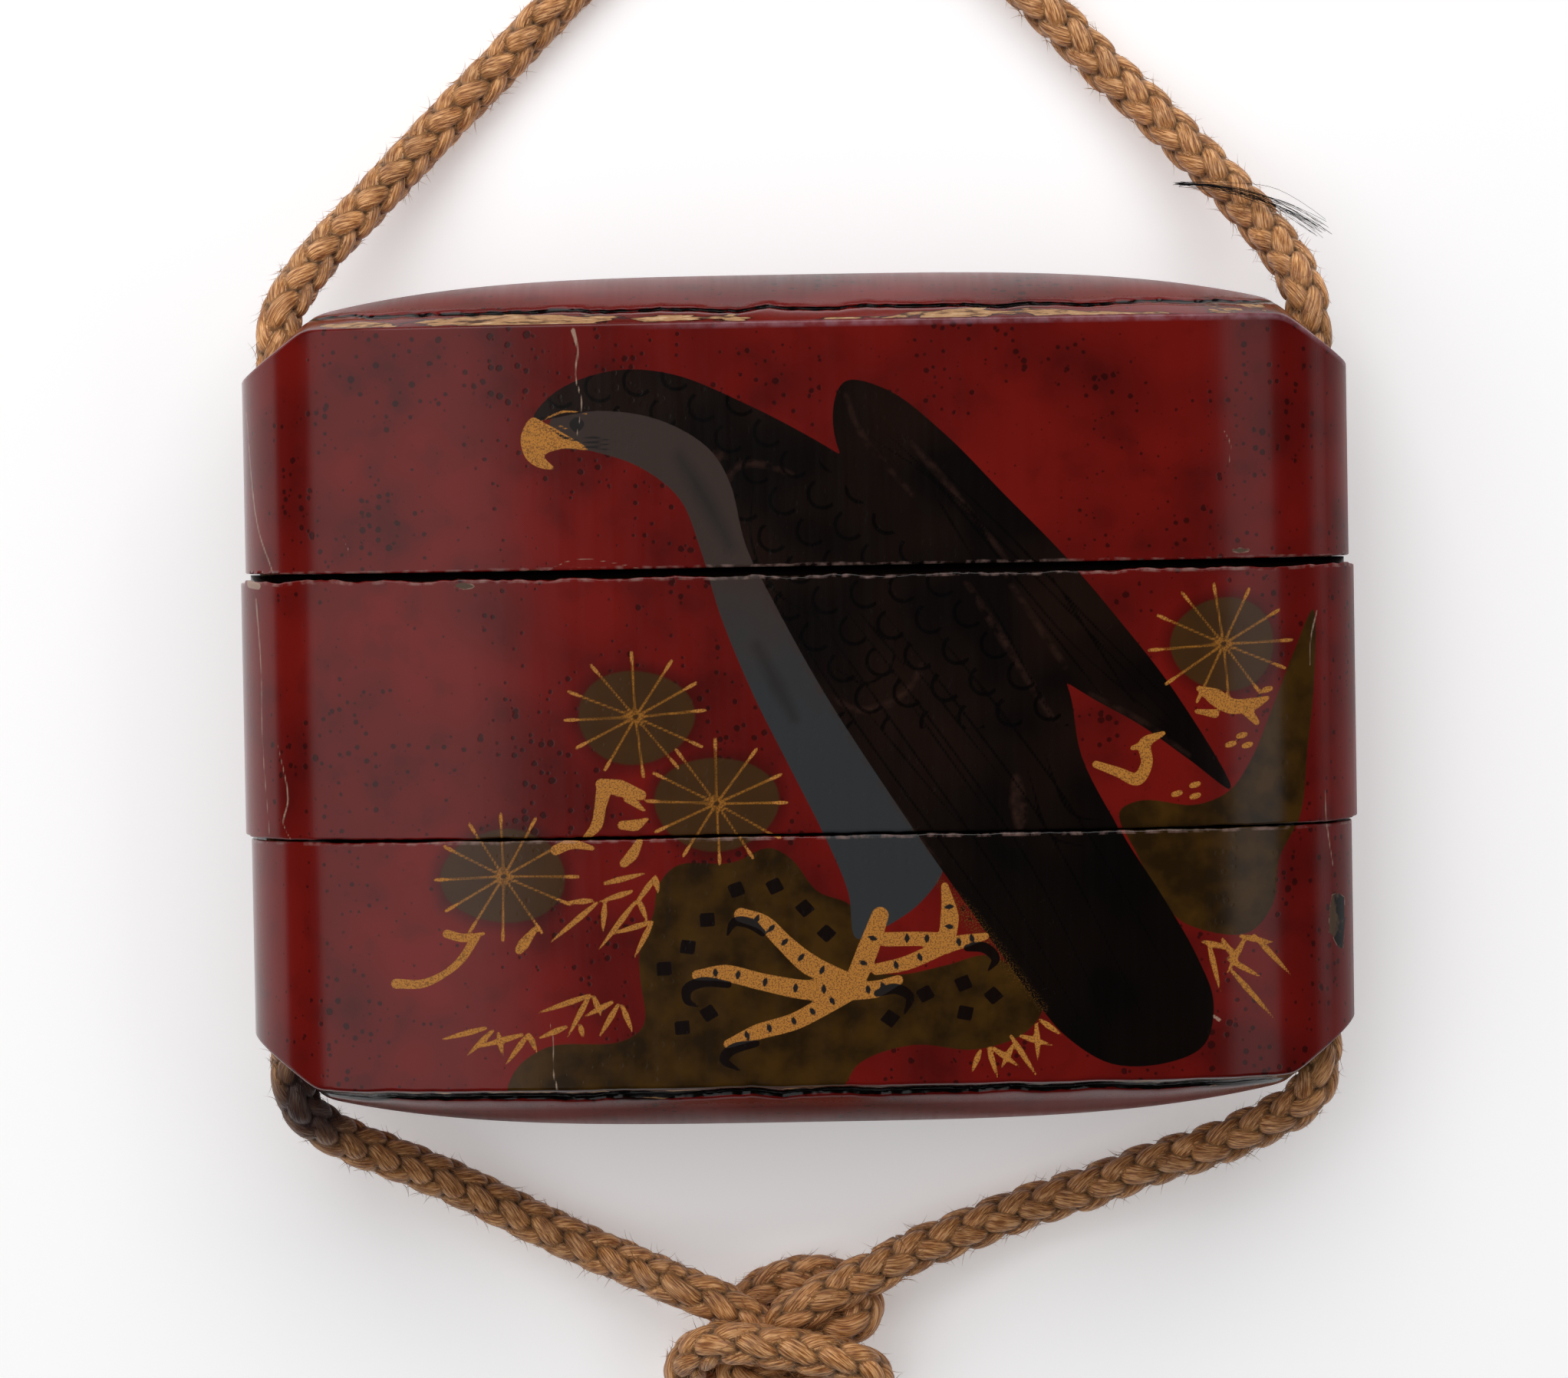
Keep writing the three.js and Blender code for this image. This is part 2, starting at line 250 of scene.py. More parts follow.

# %% [markdown]
# ## The route of the cord
# One cord runs from the knot under the case, up inside each side wall and on past the lid,
# where its two halves come together. Its route is a short list of given places, joined by a
# smooth curve. What is left over is put away in a neat round coil, two strands side by side
# and two high, and the two ends are tied in a knot inside it.

# %% Route of the cord
CORD_WIDTH = 3.3
CHANNEL_X = 37.2
MIDDLE_Z = 10.9
COIL_CENTRE = np.array([-17.1, 88.0])
COIL_PITCH = 3.4
COIL_RADIUS = 18.0
COIL_TURNS = 1.86
END_KNOT_RADIUS = 4.2
END_KNOT_ANGLE = math.radians(-10)
END_KNOT_GAP = 0.3
END_KNOT_REACH = COIL_RADIUS - COIL_PITCH - END_KNOT_GAP - END_KNOT_RADIUS
END_KNOT_PLACE = COIL_CENTRE + END_KNOT_REACH * np.array(
    [math.cos(END_KNOT_ANGLE), math.sin(END_KNOT_ANGLE)])
LIFT = 0.05


def channel_run(x):
    """The straight stretch inside a side wall."""
    return [(x, y, MIDDLE_Z) for y in (-26.6, -25.2, -12, 0, 12, 25.2, 26.6)]


LEFT_ROUTE = [
    (-10.3, -42.9, 5.2), (-12.9, -41.9, 3.8), (-16.6, -40.4, 2.8), (-21.1, -38.2, 2.6),
    (-25.5, -35.8, 3.6), (-29.9, -33.6, 5.4), (-33.6, -31.8, 7.4), (-35.9, -30, 9.4),
    (-36.9, -28.4, 10.5), *channel_run(-CHANNEL_X), (-36.9, 28.4, 10.5),
    (-36.1, 30, 9.6), (-34, 33, 7.6), (-31.1, 36.2, 5.4), (-28, 39.6, 3.6),
    (-24.8, 43, 2.4), (-21.5, 46.3, 1.8), (-16.6, 51.3, 1.7), (-11.2, 56.6, 1.7),
    (-6.2, 61.4, 1.7), (-2.5, 66, 1.7), (-0.9, 70, 1.7), (-0.8, 72, 1.7),
]
RIGHT_ROUTE = [
    (6.9, -41.3, 4.6), (11.6, -39.7, 3.4), (16.2, -38.1, 2.8), (20.7, -36.7, 3.4),
    (25.2, -34.9, 4.8), (29.6, -33.4, 6.4), (33.4, -31.6, 8), (35.9, -30, 9.5),
    (36.9, -28.4, 10.5), *channel_run(CHANNEL_X), (37, 28.4, 10.4),
    (36.4, 30.3, 9.2), (34.8, 33, 6.9), (32.2, 36.4, 4.8), (29, 39.9, 3.2),
    (26, 43, 2.3), (23.4, 45.5, 1.8), (18.4, 50.7, 1.7), (13.2, 56.2, 1.7),
    (8.4, 61.2, 1.7), (4.6, 66.2, 1.7), (2.8, 71, 1.7), (2.6, 76.1, 1.7),
]
KNOT_LEFT_ROUTE = [
    (-9.7, -43.2, 5.5), (-7.3, -44.1, 5.6), (-5.3, -45.3, 5.4), (-3.2, -47, 5),
    (-0.7, -49.4, 4), (1.6, -51.2, 3.8), (4, -51.3, 5.2), (4.5, -49.7, 7.2), (2.7, -48.5, 8.4),
    (-0.4, -47.7, 8.9), (-3.4, -47.2, 8.9), (-6.5, -47, 8.2), (-8.5, -48, 6.6),
    (-9.3, -49.7, 4.8), (-8.6, -51.3, 2.8), (-7.4, -49.9, 1.9), (-6.3, -47.7, 1.8),
    (-5.1, -45.7, 1.8), (-3.4, -44.1, 1.8), (-1.4, -43.3, 1.9), (0.9, -43.1, 2),
    (2.9, -43.9, 2.5), (3.9, -45.2, 3.8), (2.8, -46.4, 4.9), (0.7, -46.8, 4.8), (-1.2, -47.4, 3.8)]
KNOT_RIGHT_ROUTE = [
    (6.3, -41.7, 4.9), (2.6, -43.3, 5.8), (0.6, -44.2, 6.4), (-1.2, -45.2, 6.2), (-2.6, -46.7, 4.7),
    (-4, -48.4, 4.6), (-5.6, -49.8, 5.6), (-3.2, -50.6, 6.2), (-0.4, -51.1, 5.6),
    (1.5, -52.4, 4)]


def smooth_curve(stops, per_span=24, closed=False):
    """Catmull-Rom curve with centripetal spacing: each span is blended from four stops,
    whose spacing grows with the square root of the distance between them."""
    p = np.asarray(stops, float)
    if closed:
        p = np.vstack([p[-1:], p, p[:2]])
    else:
        p = np.vstack([2 * p[0] - p[1], p, 2 * p[-1] - p[-2]])
    knots = np.concatenate([[0], np.cumsum(np.linalg.norm(np.diff(p, axis=0), axis=1) ** 0.5)])
    p0, p1, p2, p3 = p[:-3], p[1:-2], p[2:-1], p[3:]
    t0, t1, t2, t3 = (k[:, None, None] for k in (knots[:-3], knots[1:-2], knots[2:-1], knots[3:]))
    t = t1 + (t2 - t1) * (np.arange(per_span) / per_span)[None, :, None]
    q0, q1, q2, q3 = (q[:, None, :] for q in (p0, p1, p2, p3))
    a1 = (t1 - t) / (t1 - t0) * q0 + (t - t0) / (t1 - t0) * q1
    a2 = (t2 - t) / (t2 - t1) * q1 + (t - t1) / (t2 - t1) * q2
    a3 = (t3 - t) / (t3 - t2) * q2 + (t - t2) / (t3 - t2) * q3
    b1 = (t2 - t) / (t2 - t0) * a1 + (t - t0) / (t2 - t0) * a2
    b2 = (t3 - t) / (t3 - t1) * a2 + (t - t1) / (t3 - t1) * a3
    curve = (t2 - t) / (t2 - t1) * b1 + (t - t1) / (t2 - t1) * b2
    return np.vstack([curve.reshape(-1, p.shape[1]), p[-2]])


def coil_turns(offset):
    """Turns round the coil's centre: at first on the floor, rising by one strand halfway."""
    angle = np.linspace(0, 2 * math.pi * COIL_TURNS, 240)
    radius = COIL_RADIUS + offset
    climb = np.clip((angle / (2 * math.pi) - 0.91) / 0.18, 0, 1)
    rise = climb * climb * (3 - 2 * climb)
    x = COIL_CENTRE[0] + radius * np.cos(angle)
    y = COIL_CENTRE[1] + radius * np.sin(angle)
    return np.stack([x, y, CORD_WIDTH / 2 + LIFT + (COIL_PITCH - LIFT) * rise], 1)


def length_of(points):
    return np.linalg.norm(np.diff(points, axis=0), axis=1).sum()


def spaced(points, step):
    """The same line with points at even steps; step may be an array along the line."""
    along = np.concatenate([[0], np.cumsum(np.linalg.norm(np.diff(points, axis=0), axis=1))])
    density = 1 / np.broadcast_to(np.asarray(step, float), along.shape)
    count = np.concatenate([[0], np.cumsum(np.diff(along) * (density[1:] + density[:-1]) / 2)])
    at = np.interp(np.linspace(0, count[-1], int(count[-1]) + 2), count, along)
    return np.stack([np.interp(at, along, points[:, k]) for k in range(3)], 1), at


def with_coil(stops, offset):
    """The listed route, the coil, and a short tail that turns in to the end knot."""
    turns = coil_turns(offset)
    bend = [(2.9 + 0.9 * offset, -6.9 + 0.5 * offset, 4.7), (2.5 + 0.5 * offset, -3.6, 4.1)]
    tail = [(END_KNOT_PLACE[0] + x, END_KNOT_PLACE[1] + y, z) for x, y, z in bend]
    wound = np.vstack([stops[-1], turns[6:], *tail])
    return np.vstack([smooth_curve(stops), smooth_curve(wound, 2)])


left_line = with_coil(LEFT_ROUTE, -COIL_PITCH / 2)
right_line = with_coil(RIGHT_ROUTE, COIL_PITCH / 2)
print("cord, left half", round(length_of(left_line)), "mm, right half", round(length_of(right_line)))

# %% [markdown]
# ## The braid
# The cord is a round braid of untwisted silk. From outside it shows as plump leaf-shaped
# stitches in six columns, each column half a stitch behind the next and leaning the other
# way. Real strands could be woven round the route, but most of each would lie hidden, so the
# surface of the cord is one tube, and each stitch is a low dome on it. Where two domes meet
# they leave the sharp crease that a braid has. The place inside the stitch is kept at every
# point, so that the material can draw the silk along it.

# %% The braid as a surface
BRAID_COLUMNS = 6
STITCH_REPEAT = 2.85
STITCH_LENGTH = 3.35
STITCH_WIDTH = 2.0
STITCH_LEAN = math.radians(27)
CORE_RADIUS = 0.92
STITCH_HEIGHT = 0.74
STITCH_TAPER = 0.2
STITCH_DIVE = 0.16
ARC_SHARE = 0.93
ROWS_TOLD_APART = 37
SHOWN_STEP = 0.17
FINE_STEP = 0.3
BRAID_SIDES = 52
FIBRES_PER_MM = 14
FIBRE_THICKNESS = np.array([0.026, 0.024, 0.018, 0.004])
STAIN_PLACE = np.array([-35.4, -28.4, 11.2])
STAIN_REACH = 5.2
STAIN_EDGE = 3.0


def stitch_height(around, along):
    """Height of the braid's surface over its core, from the dome of the nearest stitches:
    a dome is the square root of one minus a power of the distance across the leaning stitch
    and one of that along it, high where the stitch comes out and low where it dives under.
    Returns the radius, and the place across, along and by number inside the stitch."""
    best = np.full(around.shape, -1.0)
    place = np.zeros((*around.shape, 3))
    arc = CORD_WIDTH / 2 * ARC_SHARE
    column_here = np.floor(around / (2 * math.pi) * BRAID_COLUMNS)
    for column_step in (-1, 0, 1):
        column = column_here + column_step
        shift = 0.5 * np.mod(column, 2)
        lean = np.where(np.mod(column, 2) == 0, STITCH_LEAN, -STITCH_LEAN)
        sideways = (around - (column + 0.5) * 2 * math.pi / BRAID_COLUMNS) * arc
        for row_step in (0, 1):
            row = np.floor(along / STITCH_REPEAT - shift) + row_step
            forward = along - (row + shift) * STITCH_REPEAT
            across = sideways * np.cos(lean) - forward * np.sin(lean)
            length_way = sideways * np.sin(lean) + forward * np.cos(lean)
            v = length_way / (STITCH_LENGTH / 2)
            u = across / (STITCH_WIDTH / 2 * (1 - STITCH_TAPER * v))
            dome = np.sqrt(np.clip(1 - np.abs(u) ** 2.3 - np.abs(v) ** 2.8, 0, 1))
            dome = dome * (1 - STITCH_DIVE * v)
            wins = dome > best
            best = np.where(wins, dome, best)
            number = np.mod(column, BRAID_COLUMNS) + BRAID_COLUMNS * np.mod(row, ROWS_TOLD_APART)
            fresh = np.stack([across, length_way, number], -1)
            place = np.where(wins[..., None], fresh, place)
    return CORE_RADIUS + STITCH_HEIGHT * np.clip(best, 0, 1.05), place


def hair_faces(count, places):
    """Quads and end caps of three-sided hairs, whose points follow each other in order."""
    first = (np.arange(count) * places * 3)[:, None, None]
    last = places * 3 - 3
    caps = np.array([[0, 2, 1], [last, last + 1, last + 2]]) + first
    return (grid_faces(places, 3) + first).reshape(-1, 4), caps.reshape(-1, 3)


def stray_fibres(points, ahead, side, over, shown):
    """Broken filaments that stand off the silk: three-sided hairs of four places each. A hair
    leaves the surface mostly along the cord, bends outwards with the square of its length,
    and never sinks into the floor."""
    choice = np.flatnonzero(shown)
    if not len(choice):
        return np.zeros((0, 3)), np.zeros((0, 4), int), np.zeros((0, 3), int)
    count = int(FIBRES_PER_MM * SHOWN_STEP * len(choice))
    at = rng.choice(choice, count)
    angle = rng.uniform(0, 2 * math.pi, count)[:, None]
    out = np.cos(angle) * side[at] + np.sin(angle) * over[at]
    around = np.cos(angle) * over[at] - np.sin(angle) * side[at]
    way = ahead[at] * rng.choice([-1, 1], count)[:, None] + around * rng.normal(0, 0.6, (count, 1))
    way /= np.linalg.norm(way, axis=1)[:, None]
    reach = rng.uniform(0.4, 1.4, (count, 1))
    lift = rng.uniform(0.05, 0.8, (count, 1))
    t = np.linspace(0, 1, 4)[None, :, None]
    root = points[at] + out * (CORE_RADIUS + STITCH_HEIGHT * 0.8)
    hair = root[:, None] + way[:, None] * reach[:, None] * t + out[:, None] * lift[:, None] * t ** 2
    hair[..., 2] = np.maximum(hair[..., 2], LIFT)
    corner = np.arange(3) * 2 * math.pi / 3
    across = np.cross(way, out)
    section = np.cos(corner)[:, None] * out[:, None, :] + np.sin(corner)[:, None] * across[:, None, :]
    skin = hair[:, :, None] + section[:, None] * FIBRE_THICKNESS[None, :, None, None]
    return skin.reshape(-1, 3), *hair_faces(count, 4)


def braid(name, points, along, sides, phase=0.0, hairy=True):
    """The braided tube along a line of points. Each ring lies square to the line; its sideways
    axis is level, at right angles to the line, and its other axis completes the square."""
    ahead = np.gradient(points, axis=0)
    ahead /= np.linalg.norm(ahead, axis=1)[:, None]
    side = np.stack([ahead[:, 1], -ahead[:, 0], np.zeros(len(ahead))], 1)
    side /= np.linalg.norm(side, axis=1)[:, None]
    over = np.cross(side, ahead)
    angle = np.arange(sides) / sides * 2 * math.pi
    around, length_way = np.meshgrid(angle + phase, along)
    radius, place = stitch_height(around, length_way)
    ring = np.cos(angle)[None, :, None] * side[:, None] + np.sin(angle)[None, :, None] * over[:, None]
    tube = points[:, None] + ring * radius[..., None]
    rows = len(points)
    hairs = stray_fibres(points, ahead, side, over, (np.gradient(along) < FINE_STEP) & hairy)
    first = rows * sides + 2
    every = np.vstack([tube.reshape(-1, 3), points[:1], points[-1:], hairs[0]])
    quads = np.vstack([grid_faces(rows, sides)[:, ::-1], hairs[1] + first])
    ends = [fan_faces(0, sides, rows * sides, outward=True),
            fan_faces((rows - 1) * sides, sides, rows * sides + 1, outward=False)]
    piece = make_mesh(name, every, quads, np.vstack([*ends, hairs[2] + first]))
    extra = 2 + len(hairs[0])
    hair_place = np.stack([rng.uniform(-0.8, 0.8, extra), np.zeros(extra), np.zeros(extra)], 1)
    store(piece, "stitch", np.vstack([place.reshape(-1, 3), hair_place]))
    plumpness = (radius.ravel() - CORE_RADIUS) / STITCH_HEIGHT
    store(piece, "plump", np.concatenate([plumpness, np.full(extra, 0.9)]))
    away = np.linalg.norm(every - STAIN_PLACE, axis=1)
    store(piece, "stain", 0.9 * np.clip((STAIN_REACH - away) / STAIN_EDGE, 0, 1))
    print(name, len(piece.data.loops), "corners,", round(length_of(points)), "mm")
    return piece


def step_along(line, hidden=3.0, wound=0.5):
    """Step between rings: fine where the cord shows, coarse in the coil and in the wall."""
    x, y = line[:, 0], line[:, 1]
    in_wall = (np.abs(y) < 24) & (np.abs(np.abs(x) - CHANNEL_X) < 0.1)
    return np.where(in_wall, hidden, np.where(y > 54, wound, SHOWN_STEP))


def strand(knot_stops, line):
    """A knot strand and its half of the cord as one line, so the braid runs on without a
    join, and the number of the point where the knot ends."""
    knot = smooth_curve([*knot_stops[::-1], line[0]])[:-1]
    whole = np.vstack([knot, line])
    points, along = spaced(whole, step_along(whole))
    last = int(np.linalg.norm(points - line[0], axis=1).argmin())
    return points, along, last


RIGHT_PHASE = 0.3
left, left_along, left_split = strand(KNOT_LEFT_ROUTE, left_line)
right, right_along, right_split = strand(KNOT_RIGHT_ROUTE, right_line)
left_points, right_points = left[left_split:], right[right_split:]
cord_left = braid("cord_left_silk", left_points, left_along[left_split:], BRAID_SIDES)
cord_right = braid("cord_right_silk", right_points, right_along[right_split:], BRAID_SIDES, RIGHT_PHASE)
knot_left = braid("knot_left_strand", left[:left_split + 1], left_along[:left_split + 1], BRAID_SIDES)
knot_right = braid("knot_right_strand", right[:right_split + 1], right_along[:right_split + 1],
                   BRAID_SIDES, RIGHT_PHASE)

# %% [markdown]
# ## Silk
# Untwisted floss silk shines along its threads, so light runs across each stitch in fine
# streaks, and these are painted into the colour: painted highlights over the thread's own
# tone. Years of handling have browned it and roughened it. The streaks follow the place
# inside the stitch: tight across it and long along it. The creases between the stitches are
# darkened with painted shade.

# %% Silk material
silk, tree = new_material("floss_silk_braid")
stitch = attribute("stitch", "Vector")
threads = noise(stitch, 8.0, 2.0, (1, 0.09, 1), 0.65)
tone = ramp(noise(stitch, 0.35, 1.0), 0.3, 0.7, 0.75, 1.1)
# painted highlights: the light streaks of this ramp stand for the sheen of the silk, over the thread's own
# tone
thread_tone_and_sheen = add_node("ValToRGB", "Color", {"Fac": threads})
stops = thread_tone_and_sheen.socket.node.color_ramp.elements
stops[0].position, stops[0].color = 0.36, linear("#864c20")
stops[1].position, stops[1].color = 0.64, linear("#f2b87e")
stops.new(0.5).color = linear("#c2844a")
# painted shade: the colour falls nearly to black in the creases between the stitches, with a slight
# painted highlight on their tops
shade = ramp(attribute("plump"), 0.2, 0.78, 0.05, 1.08) * tone
shaded = add_node("VectorMath", "Vector", {0: thread_tone_and_sheen, "Scale": shade}, operation="SCALE")
surface({"Base Color": over(shaded, "#260f1a", attribute("stain")), "Roughness": 0.4,
         "Sheen Weight": 0.06, "Normal": bump(threads, 0.6, 0.0003)})
for piece in (cord_left, cord_right, knot_left, knot_right):
    piece.data.materials.append(silk)
print("silk has", len(tree.nodes), "nodes")

# %% [markdown]
# ## The knot at the ends
# Inside the coil the two ends of the cord are tied together. The knot is a clover: a line
# that goes round its middle while it swings in and out and up and down, so that it passes
# over and under itself three times.

# %% Knot at the ends
CLOVER_SIZE, CLOVER_HEIGHT, CLOVER_STEP, CLOVER_SIDES = 0.82, 3.8, 0.3, 40
turn = np.linspace(0, 2 * math.pi, 160)
clover = np.stack([np.sin(turn) + 2 * np.sin(2 * turn), np.cos(turn) - 2 * np.cos(2 * turn),
                   -2.2 * np.sin(3 * turn)], 1)
clover_points, clover_along = spaced(
    clover * CLOVER_SIZE + (*END_KNOT_PLACE, CLOVER_HEIGHT), CLOVER_STEP)
end_knot = braid("end_knot_silk", clover_points, clover_along, CLOVER_SIDES, hairy=False)
end_knot.data.materials.append(silk)
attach(end_knot, "root")
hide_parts("cord_end_knot")

# %% [markdown]
# ## What the cord is
# The cord's pieces are hung from the root of the model, the solids of the model that they
# stand for are hidden, and the lengths of its two halves are printed.


halves = ((cord_left, left_points, knot_left), (cord_right, right_points, knot_right))
for piece, points, knot in halves:
    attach(piece, "root")
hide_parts("cord_left", "cord_coil")
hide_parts("cord_right")
for piece in (knot_left, knot_right):
    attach(piece, "root")
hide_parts("cord_knot")
print("cord lengths", [round(length_of(points) * MM, 3) for _, points, _ in halves], "m")

# %% [markdown]
# ## Caught fluff
# A wisp of black fibre has caught on the cord near the lid, right of the middle. Each hair is
# the same three-sided thread as the stray silk, laid across the cord on its own bend.

# %% Black fluff on the cord
WISP_PLACES = 12


def wisp(name, start, end, count, spread, thickness):
    """Hairs between two places in millimetres: a straight way, a bow across it, and noise
    that grows along it, from one random draw for each hair."""
    t = np.linspace(0, 1, WISP_PLACES)[None, :, None]
    start, end = np.asarray(start, float), np.asarray(end, float)
    first = start + rng.normal(0, 1, (count, 3)) * spread * (1, 0.5, 0.25)
    last = end + rng.normal(0, 1, (count, 3)) * spread * (3.2, 2.6, 1)
    bow = rng.normal(0, 0.2, (count, 3)) * (1, 1, 0.4) + (0.3, 0.75, 1.4)
    wave = rng.normal(0, 0.16, (count, 3)) * (1, 1, 0.4)
    hair = first[:, None] * (1 - t) + last[:, None] * t + bow[:, None] * 4 * t * (1 - t)
    hair = hair + wave[:, None] * np.sin(rng.uniform(3, 9, (count, 1, 1)) * t)
    corner = np.arange(3) * 2 * math.pi / 3
    section = np.stack([0 * corner, np.cos(corner), np.sin(corner)], 1) * thickness
    skin = hair[:, :, None] + section
    return make_mesh(name, skin.reshape(-1, 3), *hair_faces(count, WISP_PLACES))


fluff_material, tree = new_material("black_fluff")
surface({"Base Color": "#0d0c10", "Roughness": 0.8, "Specular IOR Level": 0.2})
fluff = wisp("black_fluff", (28.1, 36.8, 7.0), (38.5, 33.3, 6.9), 26, 0.15, 0.019)
fluff.data.materials.append(fluff_material)
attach(fluff, "root")
print("fluff", len(fluff.data.polygons), "faces")

# %% [markdown]
# ## The form of the case
# The case has one section all the way: flat front and back, and round sides. It is the curve
# where the sixth power of the width share and the square of the depth share add up to one.
# Every piece is that ring carried along: out from the inside, round the open edge, along the
# skin, and over the domed end until it closes on a ridge. The corners of the case are cut
# off through its whole depth, so the height of the straight edge depends on the width only.

# %% The ring of the case
LID_HALF_WIDTH = 39.8
UPPER_HALF_WIDTH = 40.15
LOWER_HALF_WIDTH = 39.75
HALF_DEPTH = 11.0
REST_DEPTH = 10.9
PANEL_HALF_HEIGHT = 27.0
CORNER_START, CORNER_SLOPE, CORNER_SOFTNESS = 34.8, 0.7, 0.3
DOME_RISE, DOME_REACH = 3.6, 39.4
CASE_END = PANEL_HALF_HEIGHT + DOME_RISE
SEAM_LID, SEAM_LID_GAP = 9.4, 0.65
SEAM_LOWER, SEAM_LOWER_GAP = -9.2, 0.3
RIM_HEIGHT, RIM_THICKNESS, FIT_GAP = 3.3, 0.9, 0.25
FLOOR_THICKNESS, END_WALL, INNER_RISE = 1.6, 2.6, 2.6
ROOM = np.array([33.3, 8.45])
RIM = ROOM + RIM_THICKNESS
SOCKET = RIM + FIT_GAP
FIELD, FIELD_HEIGHT = np.array([39.45, 10.35]), 0.53
SKIN_STEP, BACK_STEP = 0.17, 1.1
EDGE_SOFTNESS = 0.1


def section(angle):
    """The section as shares of the half width and half depth. Across is the cosine of an
    angle; depth is the root of one minus across to the sixth."""
    across = np.cos(angle)
    return across, np.sign(np.sin(angle)) * np.sqrt(np.clip(1 - across ** 6, 0, 1))


def ring_shares(front_step, back_step):
    """The section at points that are evenly spaced along its edge, closely at the front and
    widely at the back."""
    angle = np.linspace(0, 2 * math.pi, 40001)
    across, depth = section(angle)
    edge = np.stack([across * UPPER_HALF_WIDTH, np.maximum(depth * HALF_DEPTH, -REST_DEPTH)], 1)
    step = np.linalg.norm(np.diff(edge, axis=0), axis=1)
    spacing = np.where(angle[1:] < math.pi, front_step, back_step)
    count = np.concatenate([[0], np.cumsum(step / spacing)])
    total = round(count[-1])
    at = np.interp(np.arange(total) / total * count[-1], count, angle)
    return section(at)


ACROSS, DEPTH = ring_shares(SKIN_STEP, BACK_STEP)
COLUMNS = len(ACROSS)
print("ring of", COLUMNS, "points")


def rings(stops):
    """Flat rings, one for each stop of half width, half depth and height."""
    width, depth, height = np.asarray(stops, float).T[:, :, None]
    x = width * ACROSS
    z = MIDDLE_Z + np.maximum(depth * DEPTH, -np.minimum(REST_DEPTH, depth))
    return np.stack([x, height + 0 * x, z], -1)


def edge_height(x):
    """Height of the straight edge: level, then falling at the slope of the cut corner, with
    the bend between them rounded by the logarithm of one plus an exponential."""
    past = (np.abs(x) - CORNER_START) / CORNER_SOFTNESS
    return PANEL_HALF_HEIGHT - CORNER_SLOPE * CORNER_SOFTNESS * np.log1p(np.exp(past))


def dome_height(x):
    """Rise of the dome over the straight edge at the middle of the depth."""
    return DOME_RISE * np.clip(1 - (np.abs(x) / DOME_REACH) ** 3.6, 0, 1)


def straight_skin(half_width, from_y, side):
    """Rows of the skin from an open seam to the straight edge, each column evenly divided."""
    flat = rings([(half_width, HALF_DEPTH, from_y)])[0]
    to_y = side * (edge_height(flat[:, 0]) - EDGE_SOFTNESS)
    count = math.ceil(abs(side * PANEL_HALF_HEIGHT - from_y) / SKIN_STEP)
    share = np.arange(1, count + 1)[:, None] / count
    y = from_y + share * (to_y - from_y)
    return np.stack([flat[:, 0] + 0 * y, y, flat[:, 2] + 0 * y], -1)


DOME_SHARES = np.concatenate([np.linspace(0, 0.17, 17), np.linspace(0.17, 0.985, 22)[1:]])


def domed_end(half_width, side):
    """Rows over the dome. A share of 0 is the edge and 1 the ridge: the depth shrinks by the
    share, and the height climbs by one minus the square of what is left of it."""
    flat = rings([(half_width, HALF_DEPTH, 0)])[0]
    share = DOME_SHARES[:, None]
    soft = EDGE_SOFTNESS / HALF_DEPTH * np.exp(-share * 40)
    height = edge_height(flat[:, 0]) + dome_height(flat[:, 0]) * (1 - (1 - share) ** 2)
    z = MIDDLE_Z + (flat[:, 2] - MIDDLE_Z) * (1 - share - 0.5 * soft)
    x = flat[:, 0] * (1 - 0.02 * share - 0.2 * soft)
    return np.stack([x, side * height, z], -1)


def inner_dome(size, side):
    """Rings of the inside of a domed end, from its middle out to the straight wall."""
    climbed = np.array([0.9995, 0.9, 0.65, 0.3, 0.0])
    edge_y = CASE_END - END_WALL - INNER_RISE
    width = size[0] * (1 - climbed) ** 0.25
    depth = size[1] * (1 - climbed) ** 0.5
    return rings(np.stack([width, depth, side * (edge_y + INNER_RISE * climbed)], 1))


def open_edge(inside, half_width, y, side):
    """Rings across the thickness of the wall at an open edge; side says which way it faces."""
    soft = EDGE_SOFTNESS
    return rings([
        (*inside, y),
        (half_width - 0.5, HALF_DEPTH - 0.5, y),
        (half_width - soft, HALF_DEPTH - soft, y),
        (half_width - 0.3 * soft, HALF_DEPTH - 0.3 * soft, y - side * 0.3 * soft),
        (half_width, HALF_DEPTH, y - side * soft),
    ])


def level_skin(half_width, from_y, to_y):
    heights = np.linspace(from_y, to_y, math.ceil(abs(to_y - from_y) / SKIN_STEP) + 1)[1:-1]
    return rings([(half_width, HALF_DEPTH, y) for y in heights])


# %% Rows of points of the three pieces
LID_EDGE = SEAM_LID + SEAM_LID_GAP / 2
UPPER_TOP = SEAM_LID - SEAM_LID_GAP / 2
UPPER_BOTTOM = SEAM_LOWER + SEAM_LOWER_GAP / 2
LOWER_TOP = SEAM_LOWER - SEAM_LOWER_GAP / 2
SOCKET_TOP = UPPER_BOTTOM + RIM_HEIGHT + FIT_GAP
UPPER_FLOOR = SOCKET_TOP + FLOOR_THICKNESS
SPECK = 0.02

